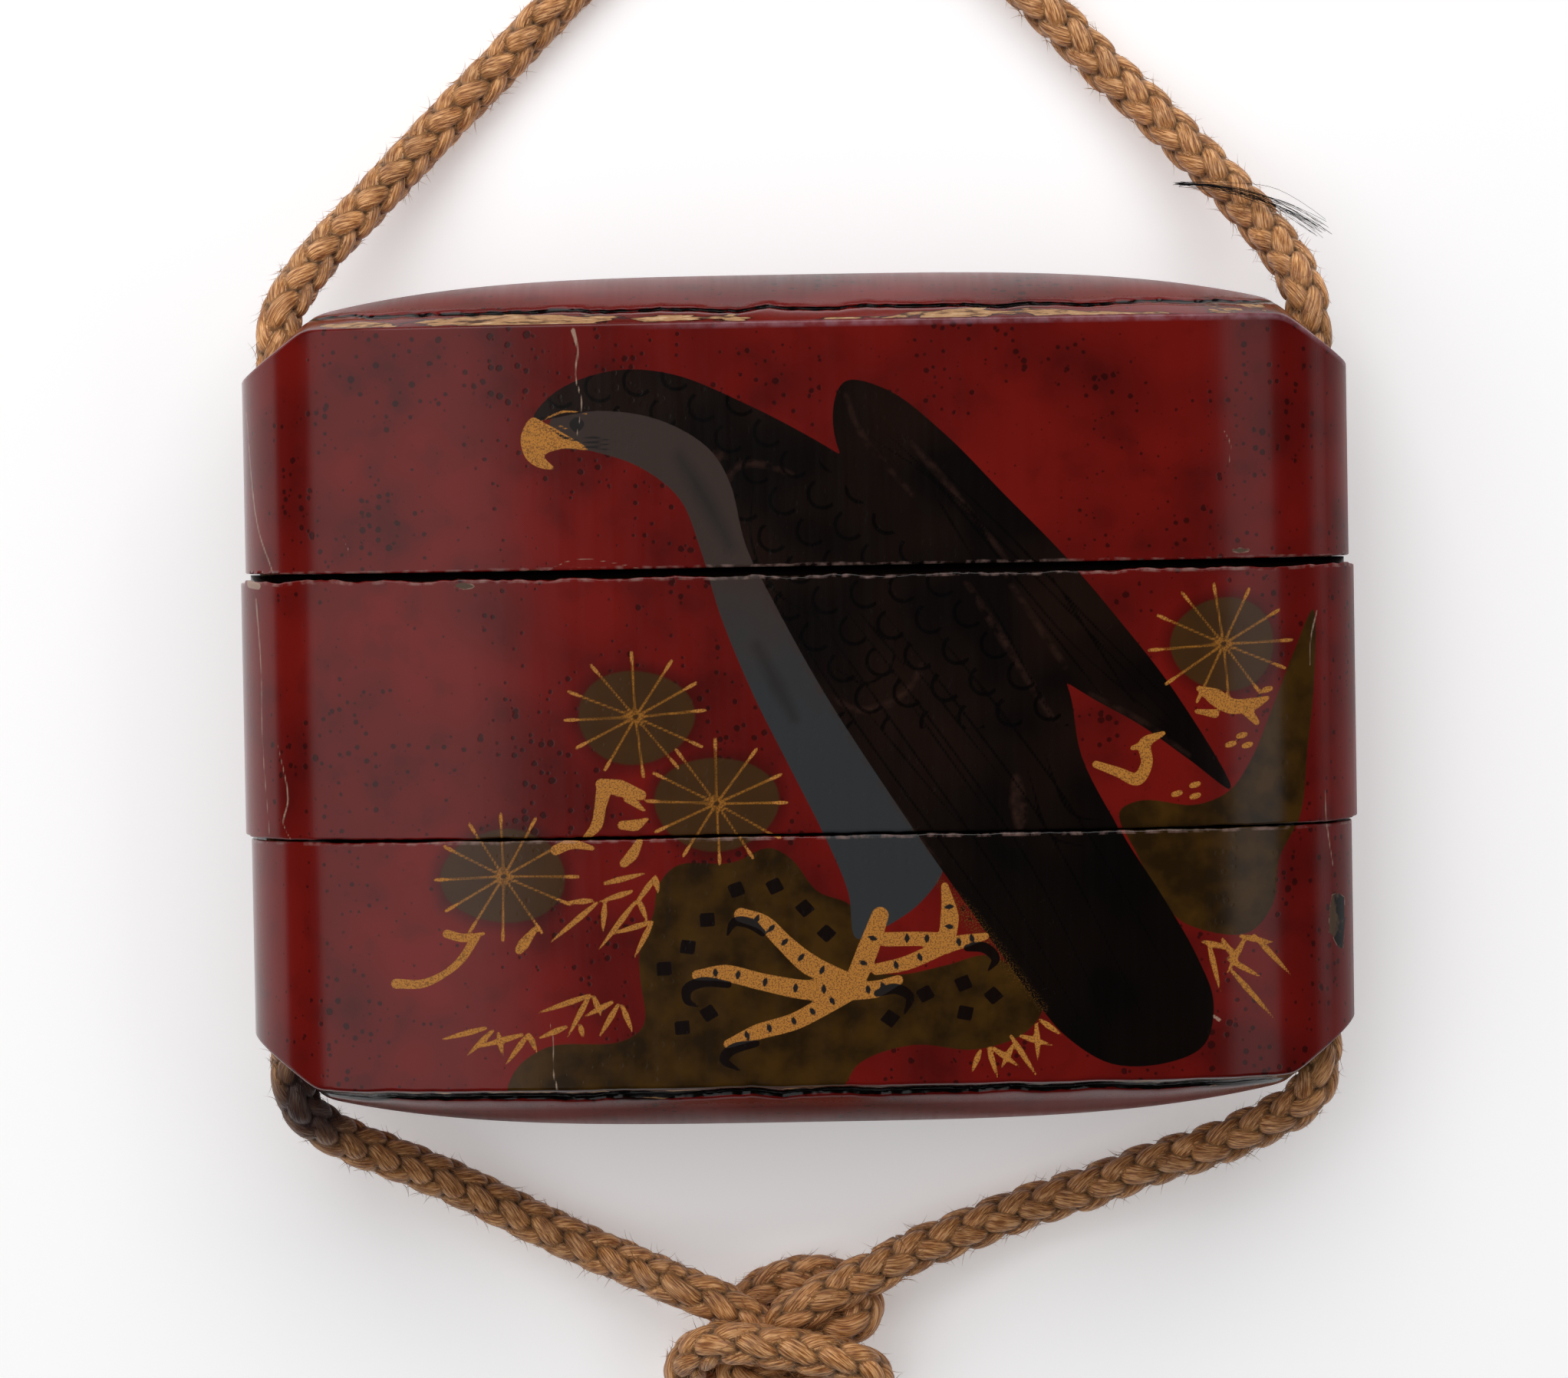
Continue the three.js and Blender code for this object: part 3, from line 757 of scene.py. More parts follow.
lid_rows = np.concatenate([
    inner_dome(SOCKET, 1),
    open_edge(SOCKET, LID_HALF_WIDTH, LID_EDGE, -1),
    straight_skin(LID_HALF_WIDTH, LID_EDGE + EDGE_SOFTNESS, 1),
    domed_end(LID_HALF_WIDTH, 1),
])
upper_rows = np.concatenate([
    rings([(SPECK, SPECK, UPPER_FLOOR), (*ROOM, UPPER_FLOOR), (*ROOM, UPPER_TOP + RIM_HEIGHT),
           (*RIM, UPPER_TOP + RIM_HEIGHT), (*RIM, UPPER_TOP + FIELD_HEIGHT),
           (*FIELD, UPPER_TOP + FIELD_HEIGHT)]),
    open_edge(FIELD, UPPER_HALF_WIDTH, UPPER_TOP, 1),
    level_skin(UPPER_HALF_WIDTH, UPPER_TOP - EDGE_SOFTNESS, UPPER_BOTTOM + EDGE_SOFTNESS),
    open_edge(SOCKET, UPPER_HALF_WIDTH, UPPER_BOTTOM, -1)[::-1],
    rings([(*SOCKET, SOCKET_TOP), (SPECK, SPECK, SOCKET_TOP)]),
])
lower_rows = np.concatenate([
    inner_dome(ROOM, -1),
    rings([(*ROOM, LOWER_TOP + RIM_HEIGHT), (*RIM, LOWER_TOP + RIM_HEIGHT)]),
    open_edge(RIM, LOWER_HALF_WIDTH, LOWER_TOP, 1),
    straight_skin(LOWER_HALF_WIDTH, LOWER_TOP - EDGE_SOFTNESS, -1),
    domed_end(LOWER_HALF_WIDTH, -1),
])
print("rows", len(lid_rows), len(upper_rows), len(lower_rows))

# %% [markdown]
# ## Closing the pieces
# Inside, the last ring is a speck, so a fan of triangles over its middle closes it. Outside,
# the front and the back of the last ring lie along the ridge a fraction of a millimetre
# apart, with their points at different places, so a strip of triangles zips them together.

# %% Close the pieces
def zip_ridge(ring, first):
    """Strip between the front and the back half of a ring: every span of one half gets a
    triangle to the last point of the other half that it has already passed along X."""
    front = np.flatnonzero(DEPTH >= 0)
    behind = np.flatnonzero(DEPTH < 0)
    front = front[np.argsort(ring[front, 0])]
    behind = behind[np.argsort(ring[behind, 0])]
    last_behind = np.searchsorted(ring[behind, 0], ring[front[1:], 0], side="left") - 1
    last_front = np.searchsorted(ring[front, 0], ring[behind[1:], 0], side="right") - 1
    near = behind[np.clip(last_behind, 0, None)]
    far = front[np.clip(last_front, 0, None)]
    return first + np.vstack([np.stack([front[:-1], near, front[1:]], -1),
                              np.stack([behind[:-1], behind[1:], far], -1)])


def case_piece(name, points, last_is_ridge, flip):
    """A closed piece from its rows of points: a fan over the middle of the first ring, and a
    fan or a zipped ridge over the last. Flip turns its faces, where its rows run upwards."""
    count = len(points)
    quads = grid_faces(count, COLUMNS)
    first_fan = fan_faces(0, COLUMNS, count * COLUMNS, outward=False)
    last_start = (count - 1) * COLUMNS
    if last_is_ridge:
        closing = zip_ridge(points[-1], last_start)
    else:
        closing = fan_faces(last_start, COLUMNS, count * COLUMNS + 1, outward=True)
    fans = np.vstack([first_fan, closing])
    if flip:
        quads, fans = quads[:, ::-1], fans[:, ::-1]
    middles = points[[0, -1]].mean(axis=1)
    every = np.vstack([points.reshape(-1, 3), middles[:1] if last_is_ridge else middles])
    piece = make_mesh(name, every, quads, fans)
    print(name, "triangles", len(quads) * 2 + len(fans))
    return piece


# %% [markdown]
# ## Where the picture lies
# The picture runs over the front of all three pieces, so it is planned once, in millimetres
# from the middle of the front. Every point of the front skin keeps, for each layer of paint,
# how far it lies inside that layer. The material then cuts each layer off where this signed
# distance passes zero, which gives an edge as crisp as a brush leaves, on a smooth surface.
# An image laid over the front would be simpler, but it could not be worked out from shapes.

# %% Front points of the three pieces
PIECES = [("lid", lid_rows, LID_HALF_WIDTH), ("upper_case", upper_rows, UPPER_HALF_WIDTH),
          ("lower_case", lower_rows, LOWER_HALF_WIDTH)]


def section_sum(rows, half_width):
    """The section's equation: one on the outer skin, and less inside the wall."""
    return (np.abs(rows[..., 0]) / half_width) ** 6 + ((rows[..., 2] - MIDDLE_Z) / HALF_DEPTH) ** 2


def front_mask(rows, half_width):
    """True on the outer skin of the front, where the section's equation gives nearly one."""
    on_panel = np.abs(rows[..., 1]) <= PANEL_HALF_HEIGHT + 0.05
    return (section_sum(rows, half_width) > 0.9) & (rows[..., 2] > MIDDLE_Z) & on_panel


masks = [front_mask(rows, half_width) for _, rows, half_width in PIECES]
front_xy = np.vstack([rows[mask][:, :2] for (_, rows, _), mask in zip(PIECES, masks)])
LAYERS = ("rock", "foliage", "breast", "smudge", "bird", "barb", "feather", "needle", "gold",
          "mark", "dust", "pale_crack", "chip")
UNPAINTED = -3.0
BLOCK = 6000
canvas = {layer: np.full(len(front_xy), UNPAINTED) for layer in LAYERS}
print("points to paint", len(front_xy))


def nearest_on(points, line):
    """Distance from each point to a broken line, and the share of the line where it is
    nearest. The foot of the perpendicular is held between the ends of each piece."""
    start, span = line[:-1], np.diff(line, axis=0)
    squared = (span ** 2).sum(1) + 1e-12
    found = []
    for block in np.array_split(points, len(points) // BLOCK + 1):
        away = block[:, None] - start
        foot = np.clip((away * span).sum(-1) / squared, 0, 1)
        distance = np.linalg.norm(away - foot[..., None] * span, axis=-1)
        nearest = distance.argmin(1)
        row = np.arange(len(block))
        share = (nearest + foot[row, nearest]) / len(span)
        found.append(np.stack([distance[row, nearest], share], 1))
    return np.vstack(found).T


def is_inside(points, loop):
    """True where a level ray from the point crosses the closed line an odd number of times."""
    (x0, y0), (x1, y1) = loop[:-1].T, loop[1:].T
    crossed = []
    for block in np.array_split(points, len(points) // BLOCK + 1):
        x, y = block[:, :1], block[:, 1:]
        spans = (y0 > y) != (y1 > y)
        at = x0 + (y - y0) * (x1 - x0) / np.where(y1 == y0, 1e-9, y1 - y0)
        crossed.append((spans & (x < at)).sum(1) % 2 == 1)
    return np.concatenate(crossed)


def near(line, margin):
    low, high = line.min(0) - margin, line.max(0) + margin
    return np.flatnonzero(((front_xy >= low) & (front_xy <= high)).all(1))


def paint_area(layer, stops, rounded=True, margin=1.2):
    """Fills a closed outline: the layer rises to the signed distance inside it."""
    loop = smooth_curve(stops, 6, closed=True) if rounded else np.array([*stops, stops[0]], float)
    at = near(loop, margin)
    distance, _ = nearest_on(front_xy[at], loop)
    signed = np.where(is_inside(front_xy[at], loop), distance, -distance)
    canvas[layer][at] = np.maximum(canvas[layer][at], signed)


def paint_stroke(layer, stops, widths, margin=1.2):
    """A brush stroke: half its width, which changes along it, less the distance to it."""
    line = smooth_curve(stops, 6) if len(stops) > 2 else np.array(stops, float)
    at = near(line, margin)
    distance, share = nearest_on(front_xy[at], line)
    half = np.interp(share, np.linspace(0, 1, len(widths)), widths) / 2
    canvas[layer][at] = np.maximum(canvas[layer][at], half - distance)


# %% [markdown]
# ## The bird
# A bird of prey sits looking back over its shoulder, in black and brown lacquer with a
# grey-blue throat and breast. It is built of a few plain outlines: breast, body with folded
# wing and tail, the far wing, beak, and two gold feet with dark claws.

# %% Paint the bird
paint_area("breast", [
    (-17, 20.6), (-17.2, 18.6), (-14.4, 18.1), (-11, 16.9), (-8.2, 14.6),
    (-6.8, 11), (-5.5, 6.4), (-3.3, 0.8), (-0.8, -4.4), (1.8, -9.8), (3.2, -13.4),
    (3.7, -16.6), (5.8, -15.8), (8.4, -14), (10, -11.4), (8, -6),
    (2, 4), (-2, 14), (-6, 20), (-12, 22)])
paint_area("bird", [
    (-18.4, 20.4), (-16.8, 22.3), (-12.8, 23.7), (-8.6, 23.4), (-3.6, 21.3),
    (1.4, 18.6), (6, 15.6), (10.6, 12.4), (14.6, 7.6), (17.6, 3.6), (19, 0.6),
    (19.8, -4), (22.4, -9.2), (25.6, -14.4), (27.8, -18.4), (28.9, -21.6),
    (28.2, -24.6), (25.6, -25.8), (21.6, -25.8), (18.4, -23.8), (16.4, -21.4),
    (11.2, -13.9), (6.2, -6.4), (1.6, 1), (-1.6, 7), (-3.6, 11.2), (-4.7, 15.8),
    (-6.2, 18.2), (-9.6, 20.2), (-13.8, 20.9)])
paint_area("bird", [
    (3.4, 17), (2.7, 20.8), (3.6, 22.7), (6.6, 22), (10.6, 18.8), (14.6, 14.6),
    (18.6, 10.4), (22.4, 5.8), (26.6, 0.2), (30.4, -6.6), (27.4, -4.4), (24, -1.9),
    (20.4, 0.2), (17, 2.6), (10, 10)])
paint_stroke("smudge", [(-8.2, 17.6), (-7, 15.6), (-6, 13.8), (-4.7, 11.2)], (0.5, 1, 1, 0.5))
paint_stroke("smudge", [(-3, 4.2), (-1.6, 1.4), (-0.4, -1)], (0.3, 0.8, 0.3))
paint_area("mark", [(-15.9, 20), (-15.4, 20.5), (-14.8, 20), (-15.4, 19.4)], margin=0.6)
paint_stroke("mark", [(-17.3, 19.8), (-16.3, 19.1), (-15.2, 18.8)], (0.1, 0.22, 0.1))
for low in (0, 0.35, 0.7):
    paint_stroke("mark", [(-15, 19.1 - low), (-14, 19 - low), (-12.9, 18.8 - low)], (0.1, 0.2, 0.06))
paint_area("gold", [
    (-18.5, 20.5), (-19.3, 19.2), (-19, 17.7), (-18.1, 17), (-17, 16.9),
    (-17.7, 17.8), (-16.3, 18.3), (-14.6, 18.2), (-16.2, 19.3), (-17.6, 20.1)])
paint_stroke("gold", [(-17.6, 20.4), (-16.2, 20.9), (-14.6, 20.7)], (0.1, 0.16, 0.06))
paint_stroke("gold", [(-16.8, 20), (-15.9, 19.6)], (0.06, 0.14, 0.06))
TOES = [
    ([(5.4, -15), (4.5, -17.4), (3.3, -20.2)], (1.2, 1.5, 1.4)),
    ([(-4.4, -14.8), (-2.8, -15.4), (-1.4, -16.8), (0.4, -18.4), (3, -19.6)], (1, 1.1, 1.2, 1.5, 1.2)),
    ([(-7.6, -19), (-5.6, -18.9), (-2.8, -19.6), (0.4, -20.2), (3.2, -20)], (0.7, 1.2, 1.2, 1.4, 1.3)),
    ([(-5.5, -23.9), (-3.4, -23.1), (-0.8, -22.4), (1.2, -21.4), (3.4, -20.2)], (0.6, 1.1, 1.2, 1.3, 1.3)),
    ([(3.4, -20.3), (5, -20.2), (6.6, -19.6)], (1.3, 1.2, 0.7)),
    ([(10, -13), (10.3, -15.2), (10, -17.2)], (0.5, 1.3, 1.2)),
    ([(5.8, -16.7), (8, -16.7), (10, -16.8)], (1, 1, 1)),
    ([(5.1, -18.8), (7.2, -18.4), (10.2, -17.1)], (0.8, 1, 1.1)),
    ([(10, -17.2), (11.4, -16.9), (12.8, -16.6)], (1.1, 0.9, 0.5)),
]
CLAWS = [
    [(-2.9, -16.1), (-3.8, -15.4), (-4.9, -15.3), (-5.4, -16.2)],
    [(-5.4, -19.7), (-7.2, -19.5), (-8.3, -20), (-8.3, -20.8), (-7.6, -21.2)],
    [(-3.5, -23.9), (-5.2, -24.3), (-5.8, -25), (-4.7, -25.8)],
    [(5.1, -20.5), (6.4, -20.2), (7.4, -20.8), (7, -22)],
    [(11.5, -17.4), (12.7, -17.4), (13.5, -18.2), (13, -19)],
]
for stops, widths in TOES:
    paint_stroke("gold", stops, widths)
    line = smooth_curve(stops, 6)
    places = np.arange(4, len(line) - 2, 4)
    across = np.gradient(line, axis=0)[places][:, ::-1] * (-1, 1)
    across /= np.linalg.norm(across, axis=1)[:, None]
    for middle, way in zip(line[places], across):
        paint_stroke("mark", [middle - 0.24 * way, middle + 0.3 * way], (0.16, 0.4, 0.2), 0.5)
for stops in CLAWS:
    paint_stroke("mark", stops, (0.5, 0.75, 0.75, 0.55, 0.15))
print("bird painted over", int((canvas["bird"] > 0).sum()), "points")

# %% [markdown]
# ## Feathers
# Fine lines on the dark body tell the feathers apart, and show only when the light is right.
# On the neck and back they are small scallops in staggered rows, which repeat in both
# directions, so one arc in a leaning grid of cells draws them all. Long lines follow the
# quills of the wings and of the tail.

# %% Paint the feathers
def scallops(points, lean, spacing, radius, width):
    """Arcs in staggered cells: half the width less the distance to a circle's far side."""
    turn = np.array([[math.cos(lean), -math.sin(lean)], [math.sin(lean), math.cos(lean)]])
    u, v = (points @ turn / spacing).T
    row = np.floor(v)
    cell_u = (u + 0.5 * np.mod(row, 2)) % 1 - 0.5
    cell_v = v - row - 0.75
    away = np.hypot(cell_u * spacing[0], cell_v * spacing[1])
    return np.where(cell_v < 0.1, width / 2 - np.abs(away - radius), -1)


arcs = scallops(front_xy, math.radians(-50), np.array([2.9, 2.3]), 1, 0.26)
on_back = (front_xy[:, 0] + front_xy[:, 1] < 19) & (front_xy[:, 1] > -2)
canvas["feather"] = np.where(on_back, arcs, canvas["feather"])
QUILLS = [
    [(-3, 15.5), (-3.2, 11.5), (-1.6, 8), (1.5, 6)],
    [(-1.4, 7), (4, -1.5), (12, -13), (17.4, -20.8)],
    [(0.6, 7.2), (6.6, -1.5), (13.6, -12), (19.4, -22.6)],
    [(3, 7), (9, -1), (16, -11.5), (21.6, -23.2)],
    [(5.8, 6.6), (11.4, -0.6), (17.8, -10), (24, -22.8)],
    [(8.6, 6.2), (13.6, 0), (19, -7.6), (26.4, -20.4)],
    [(2.5, 2.5), (4.6, 1.4), (6.4, 2.4), (6.8, 4.4)],
    [(5.2, 18.8), (9.6, 15.6), (14.6, 9.6), (19.6, 3.6), (26.6, -2.6)],
    [(6.6, 18.8), (12, 13.6), (18, 7.4), (28.6, -4.2)],
    [(9, 17.6), (15, 11.6), (21, 5), (27.6, -1.8)],
]
QUILLS += [
    [(4.3, 6.4), (7.4, 2.6)], [(4.7, -0.6), (11, -8.5)], [(7.4, 0.5), (13.8, -8.8)],
    [(7.7, 3), (14.1, -5.4)], [(12.7, 8.5), (18.2, -2.1)], [(16.5, 6.5), (21.4, 0.1)],
    [(17.9, 8.7), (23.6, -0.4)], [(9.7, 14.7), (12.5, 9.9)], [(11.9, 14), (14.1, 10.1)],
    [(16, -5), (17.6, -9.6), (20, -10.4)], [(17.2, -3.8), (19, -8), (21.4, -8.6)],
]
for stops in QUILLS:
    paint_stroke("feather", stops, (0.08, 0.2, 0.16, 0.08))
BARBS = [
    ([(8.1, 18.3), (9.7, 16.5), (14.8, 9.9)], (0.15, 0.4, 0.2)),
    ([(11.8, 8.5), (14.2, 4.7), (17.7, -1.2)], (0.2, 0.5, 0.3)),
    ([(14.7, 8.7), (18.7, 2.4)], (0.2, 0.3)),
    ([(15.2, -5.5), (15.3, -7.4), (15.5, -9.3)], (0.5, 1.2, 0.5)),
    ([(2, 0.6), (4.3, -0.5), (6.5, 0.1), (8.1, 1.6), (8.6, 2.6)], (0.2, 0.4, 0.4, 0.2)),
    ([(-4.7, 15.9), (-4.5, 16.5), (-3.5, 17), (-1.8, 16.8), (-0.3, 16.2)], (0.2, 0.4, 0.2)),
    ([(-4.9, 16.2), (-3.8, 11.2), (-1.8, 7), (1.4, 1), (6, -6.4), (9.6, -11.4)], (0.14, 0.2, 0.14)),
    ([(-6.2, 17.9), (-5.3, 17.4)], (0.6, 0.9)),
    ([(20.4, 0.4), (24, -1.6), (27.4, -4.1)], (0.1, 0.3, 0.1)),
    ([(3.6, 21.8), (4.6, 19), (8.2, 14.6)], (0.15, 0.3, 0.15)),
]
for stops, widths in BARBS:
    paint_stroke("barb", stops, widths)
paint_stroke("dust", [(9.6, -12.6), (12.4, -16.2), (16.8, -21.8)], (0.3, 1.3, 0.9, 0.4))

# %% [markdown]
# ## Rocks, pine and bamboo grass
# The bird's rock and the one behind it are brown-green, and the first has small dark squares,
# like cut flakes laid in. The pine is drawn the usual short way: a round of green-brown
# foliage with twelve gold needles that reach past its rim, on crooked gold twigs. Bamboo
# grass is a few tapered gold strokes that cross.

# %% Paint rocks and plants
paint_area("rock", [
    (-10.2, -12.6), (-8.8, -11.2), (-5, -11.1), (-2.4, -10.1), (-0.8, -10.9),
    (1, -13.2), (3.4, -14.3), (4.4, -17), (3.6, -18.6), (6.6, -19.2),
    (10, -18.6), (13.2, -18), (16.8, -21.4), (15.6, -23.4), (12, -24.6),
    (7.6, -24.2), (3.8, -25.4), (2, -27.6), (-9, -28.2), (-21, -27.6),
    (-20.6, -25.6), (-18.2, -23.9), (-13, -23.6), (-11.4, -22.4), (-11.6, -19.2),
    (-11.6, -17.2), (-10.6, -14.6)])
paint_area("rock", [
    (36.6, 6), (35, 2.8), (33.4, -1), (31.8, -4.6), (30.2, -6.7), (27.8, -7.6),
    (24, -7.2), (22.4, -8), (23.6, -11), (25.4, -14.4), (27, -16),
    (31.4, -16.8), (33.3, -14.8), (33.8, -11.6), (35.4, -8.6), (36, -4), (36.6, 1)])
SQUARES = [(-4.7, -13, 20), (-2, -12.8, 25), (0.1, -14.4, 40), (-6.8, -15.1, 3), (-8.2, -17, -8),
           (-9.9, -18.5, 2), (-8.7, -22.7, 4), (-6.8, -21.7, 32), (1.6, -16.2, 45), (8.5, -20.6, 28),
           (11.2, -19.9, 22), (13.3, -20.8, 40), (11.3, -22, -12), (6, -22.3, 52)]
for x, y, degrees in SQUARES:
    angle = math.radians(degrees) + np.array([0.25, 0.75, 1.25, 1.75]) * math.pi
    corners = np.stack([x + 0.74 * np.cos(angle), y + 0.68 * np.sin(angle)], 1)
    paint_area("mark", corners, rounded=False, margin=0.5)
ROUNDELS = [(-11.6, -0.7, 4.1, 3.3, 3), (-6, -6.9, 4.4, 3.3, -1), (-21.1, -11.8, 4.4, 3.3, 1),
            (30, 3.7, 3.7, 3.3, 5)]
for x, y, wide, high, turned in ROUNDELS:
    angle = np.linspace(0, 2 * math.pi, 15)[:-1]
    wobble = 1 + 0.03 * np.sin(3 * angle + x)
    rim = np.stack([x + wide * wobble * np.cos(angle), y + high * wobble * np.sin(angle)], 1)
    paint_area("foliage", rim)
    for number in range(12):
        angle = math.radians(30 * number + turned) + 0.05 * math.sin(5 * number + x)
        way = np.array([math.cos(angle), math.sin(angle) * 0.86])
        reach = 5.1 + 0.25 * math.sin(7 * number + y)
        middle = np.array([x, y])
        paint_stroke("needle", [middle + 0.3 * way, middle + 0.8 * reach * way], (0.18, 0.14, 0.18), 0.6)
        paint_stroke("gold", [middle + 0.8 * reach * way, middle + reach * way], (0.16, 0.26, 0.2), 0.6)
TWIGS = [
    ([(-15.4, -9.2), (-14.5, -8.3), (-14.2, -7), (-13.9, -5.7)], (0.3, 0.8, 0.8, 1.1)),
    ([(-14.1, -5.4), (-12.8, -5.7), (-11.3, -6.2)], (0.8, 1.2, 0.7)),
    ([(-12.2, -6.4), (-11.1, -7.3)], (0.7, 0.2)),
    ([(-12.7, -8.3), (-11.7, -8.3), (-10.9, -7.9)], (0.6, 0.8, 0.2)),
    ([(-11.5, -9.5), (-12, -10.4), (-12.6, -11)], (0.5, 0.8, 0.6)),
    ([(-17.4, -10), (-16.3, -9.6), (-14.8, -9.9)], (0.7, 0.7, 0.3)),
    ([(-25.2, -15.8), (-24, -16.1), (-22.6, -15.8)], (0.6, 0.6, 0.2)),
    ([(-23.2, -16.1), (-24.2, -17.6), (-25.4, -18.6), (-27, -19.3), (-28.9, -19.3)],
     (0.6, 0.55, 0.45, 0.6, 0.7)),
    ([(-19, -15.6), (-19.8, -16.6), (-20.1, -17)], (0.4, 0.8, 0.6)),
    ([(28.2, 0.6), (29.3, 0), (30.5, -0.7), (32, -0.6), (33.1, -0.2)], (0.4, 1.2, 1.1, 0.9, 0.3)),
    ([(31.4, -0.8), (32.3, -1.9)], (0.9, 0.4)),
    ([(28, -1), (29.3, -1.2)], (0.3, 0.6)),
    ([(20.8, -4.6), (22.4, -5.2), (23.7, -5.7), (24.4, -4.6), (24.3, -3.2), (25.6, -2.5)],
     (0.5, 0.7, 0.9, 0.8, 0.9, 0.3)),
    ([(24.2, -3.3), (23.4, -3.5)], (0.6, 0.3)),
]
BUDS = [(33.1, 0.4), (31.2, -2.8), (30.4, -3.4), (31.6, -3.5), (27.8, -6.2), (26.5, -6.8), (27.8, -7)]
for x, y in BUDS:
    TWIGS.append(([(x - 0.25, y - 0.05), (x + 0.25, y + 0.08)], (0.34, 0.42, 0.34)))
for stops, widths in TWIGS:
    paint_stroke("gold", stops, widths)
BLADES = [
    (-14, -12.4, -11, -11.7), (-12.1, -13, -14.4, -13.7), (-14.9, -13.6, -16.7, -13.7),
    (-14.6, -13.8, -17.9, -16.5), (-14, -13.8, -14.2, -15.9), (-10.4, -12, -12, -14.1),
    (-11.9, -13.8, -14.5, -17.1), (-10.4, -12, -10.2, -13.2), (-11.6, -13.6, -11, -15.2),
    (-10.8, -15.2, -13.6, -16), (-10.7, -15.2, -12, -17.7), (-15.2, -20.3, -18.9, -21.5),
    (-15.2, -20.3, -16.8, -23.2), (-14.9, -20.4, -14.4, -21.8), (-13.6, -20.8, -15.6, -21.8),
    (-13.2, -21, -14.6, -23.3), (-12.9, -21.1, -12.2, -23), (-15.9, -22.4, -15.7, -23.3),
    (-16.9, -22.5, -18.9, -23.3), (-19.5, -23, -19, -24.3), (-22.6, -22.5, -25.8, -23.3),
    (-22.1, -22.7, -23.9, -24.4), (-20, -23, -23.4, -23.9), (-21.7, -22.9, -21.4, -24.5),
    (-19.6, -23, -21.2, -25.1), (12.3, -24.7, 11.7, -26.2), (12.9, -24.5, 13.5, -26.6),
    (13.2, -24.5, 15.1, -25.9), (14.6, -24.4, 13.8, -25.9), (14.5, -23.7, 16.3, -26.6),
    (15.2, -23.7, 17.4, -24.4), (16.3, -22.9, 16.4, -25.5), (16.6, -22.6, 18.1, -23.7),
    (28.2, -17.3, 30.6, -18), (30.9, -17, 33.4, -17.6), (28.6, -17.4, 29.4, -20.9),
    (29.6, -17.2, 31, -19.4), (31.2, -17.2, 29.9, -19.6), (31.9, -17, 34.6, -20),
    (30.2, -19.4, 33.3, -23), (30, -18.6, 32.4, -20),
]
for x0, y0, x1, y1 in BLADES:
    paint_stroke("gold", [(x0, y0), (x1, y1)], (0.22, 0.42, 0.3, 0.06), 0.6)
for name in LAYERS:
    print(name, "covers", int((canvas[name] > 0).sum()), "points")

# %% [markdown]
# ## Cracks and losses
# The wood has shrunk and moved under its lacquer. A few fine cracks run with the grain, and
# slivers have come off the right side. They are strokes of the same kind.

# %% Paint cracks and losses
CRACKS = [
    ([(-15.5, 26.6), (-15.2, 25.2), (-15.4, 23.4), (-15, 21.6), (-15.4, 19)],
     (0.3, 0.14, 0.12, 0.1, 0.04)),
    ([(-18.1, -21.9), (-17.8, -23.6), (-17.9, -25.4), (-17.6, -26.9)], (0.04, 0.09, 0.09, 0.16)),
    ([(36.9, 5.9), (36.4, 4), (36.3, 2)], (0.1, 0.1, 0.04)),
    ([(37.3, -6.9), (37.4, -9), (37.9, -12.4)], (0.05, 0.1, 0.05)),
    ([(-38.7, 8), (-38.4, 3), (-38.4, -2.2), (-38, -8.8)], (0.1, 0.08, 0.06, 0.05)),
    ([(-37.2, -2.4), (-36.5, -6.2), (-36.9, -8), (-36.4, -9)], (0.05, 0.12, 0.1, 0.06)),
    ([(-39.3, 21.4), (-38.5, 13.2), (-37.3, 9.8)], (0.04, 0.1, 0.12)),
    ([(30.3, 18.7), (30.7, 17.8), (30.6, 16.5)], (0.06, 0.1, 0.04)),
    ([(28.9, -22.6), (29.3, -22.9)], (0.2, 0.25)),
    ([(-17.7, 9.7), (-16.3, 10.3), (-14.8, 10.5), (-13.1, 10.2), (-11.3, 9.8)], (0.05, 0.04, 0.05)),
    ([(-32.1, 12.2), (-31.7, 11.4), (-31.7, 11)], (0.04, 0.06, 0.03)),
    ([(-39.2, 8.9), (-38.5, 8.8)], (0.5, 0.4)),
]
for stops, widths in CRACKS:
    paint_stroke("pale_crack", stops, widths, 0.6)
paint_stroke("chip", [(-24.1, 8.72), (-22.9, 8.66)], (0.2, 0.42, 0.15), 0.6)
paint_stroke("chip", [(-19.9, 9.5), (-18.6, 9.58), (-17.4, 9.5)], (0.1, 0.5, 0.15), 0.6)
paint_stroke("chip", [(30.7, 10.3), (31.9, 10.3)], (0.1, 0.3, 0.1), 0.6)
paint_area("chip", [
    (37.8, -14.5), (38.3, -14.4), (38.8, -14.8), (38.8, -16.8), (38.6, -18.4),
    (38.3, -18.4), (37.8, -17.4), (37.5, -17.1), (37.6, -15.6)], rounded=False, margin=0.8)

# %% [markdown]
# ## Worn edges
# Along the front edges of both domed ends the lacquer has split and flaked, and bare wood
# shows. Points over a dome keep how far they have climbed from the edge, seen from the
# front, and the split is a fold pressed into the skin along a wandering line. The lips of
# the open seams are moved up and down a little, so that they are as ragged as worn wood.

# %% Wear of the domed ends and the seams
MOUTH_RADIUS, MOUTH_EDGE, MOUTH_DEPTH = 1.95, 0.25, 2.4


def wander(x, spacing, amount, seed):
    """A wandering line: random heights every few millimetres, joined by straight pieces."""
    table = np.random.default_rng(seed).uniform(-amount, amount, int(100 / spacing) + 2)
    return np.interp(x, np.arange(len(table)) * spacing - 50, table)


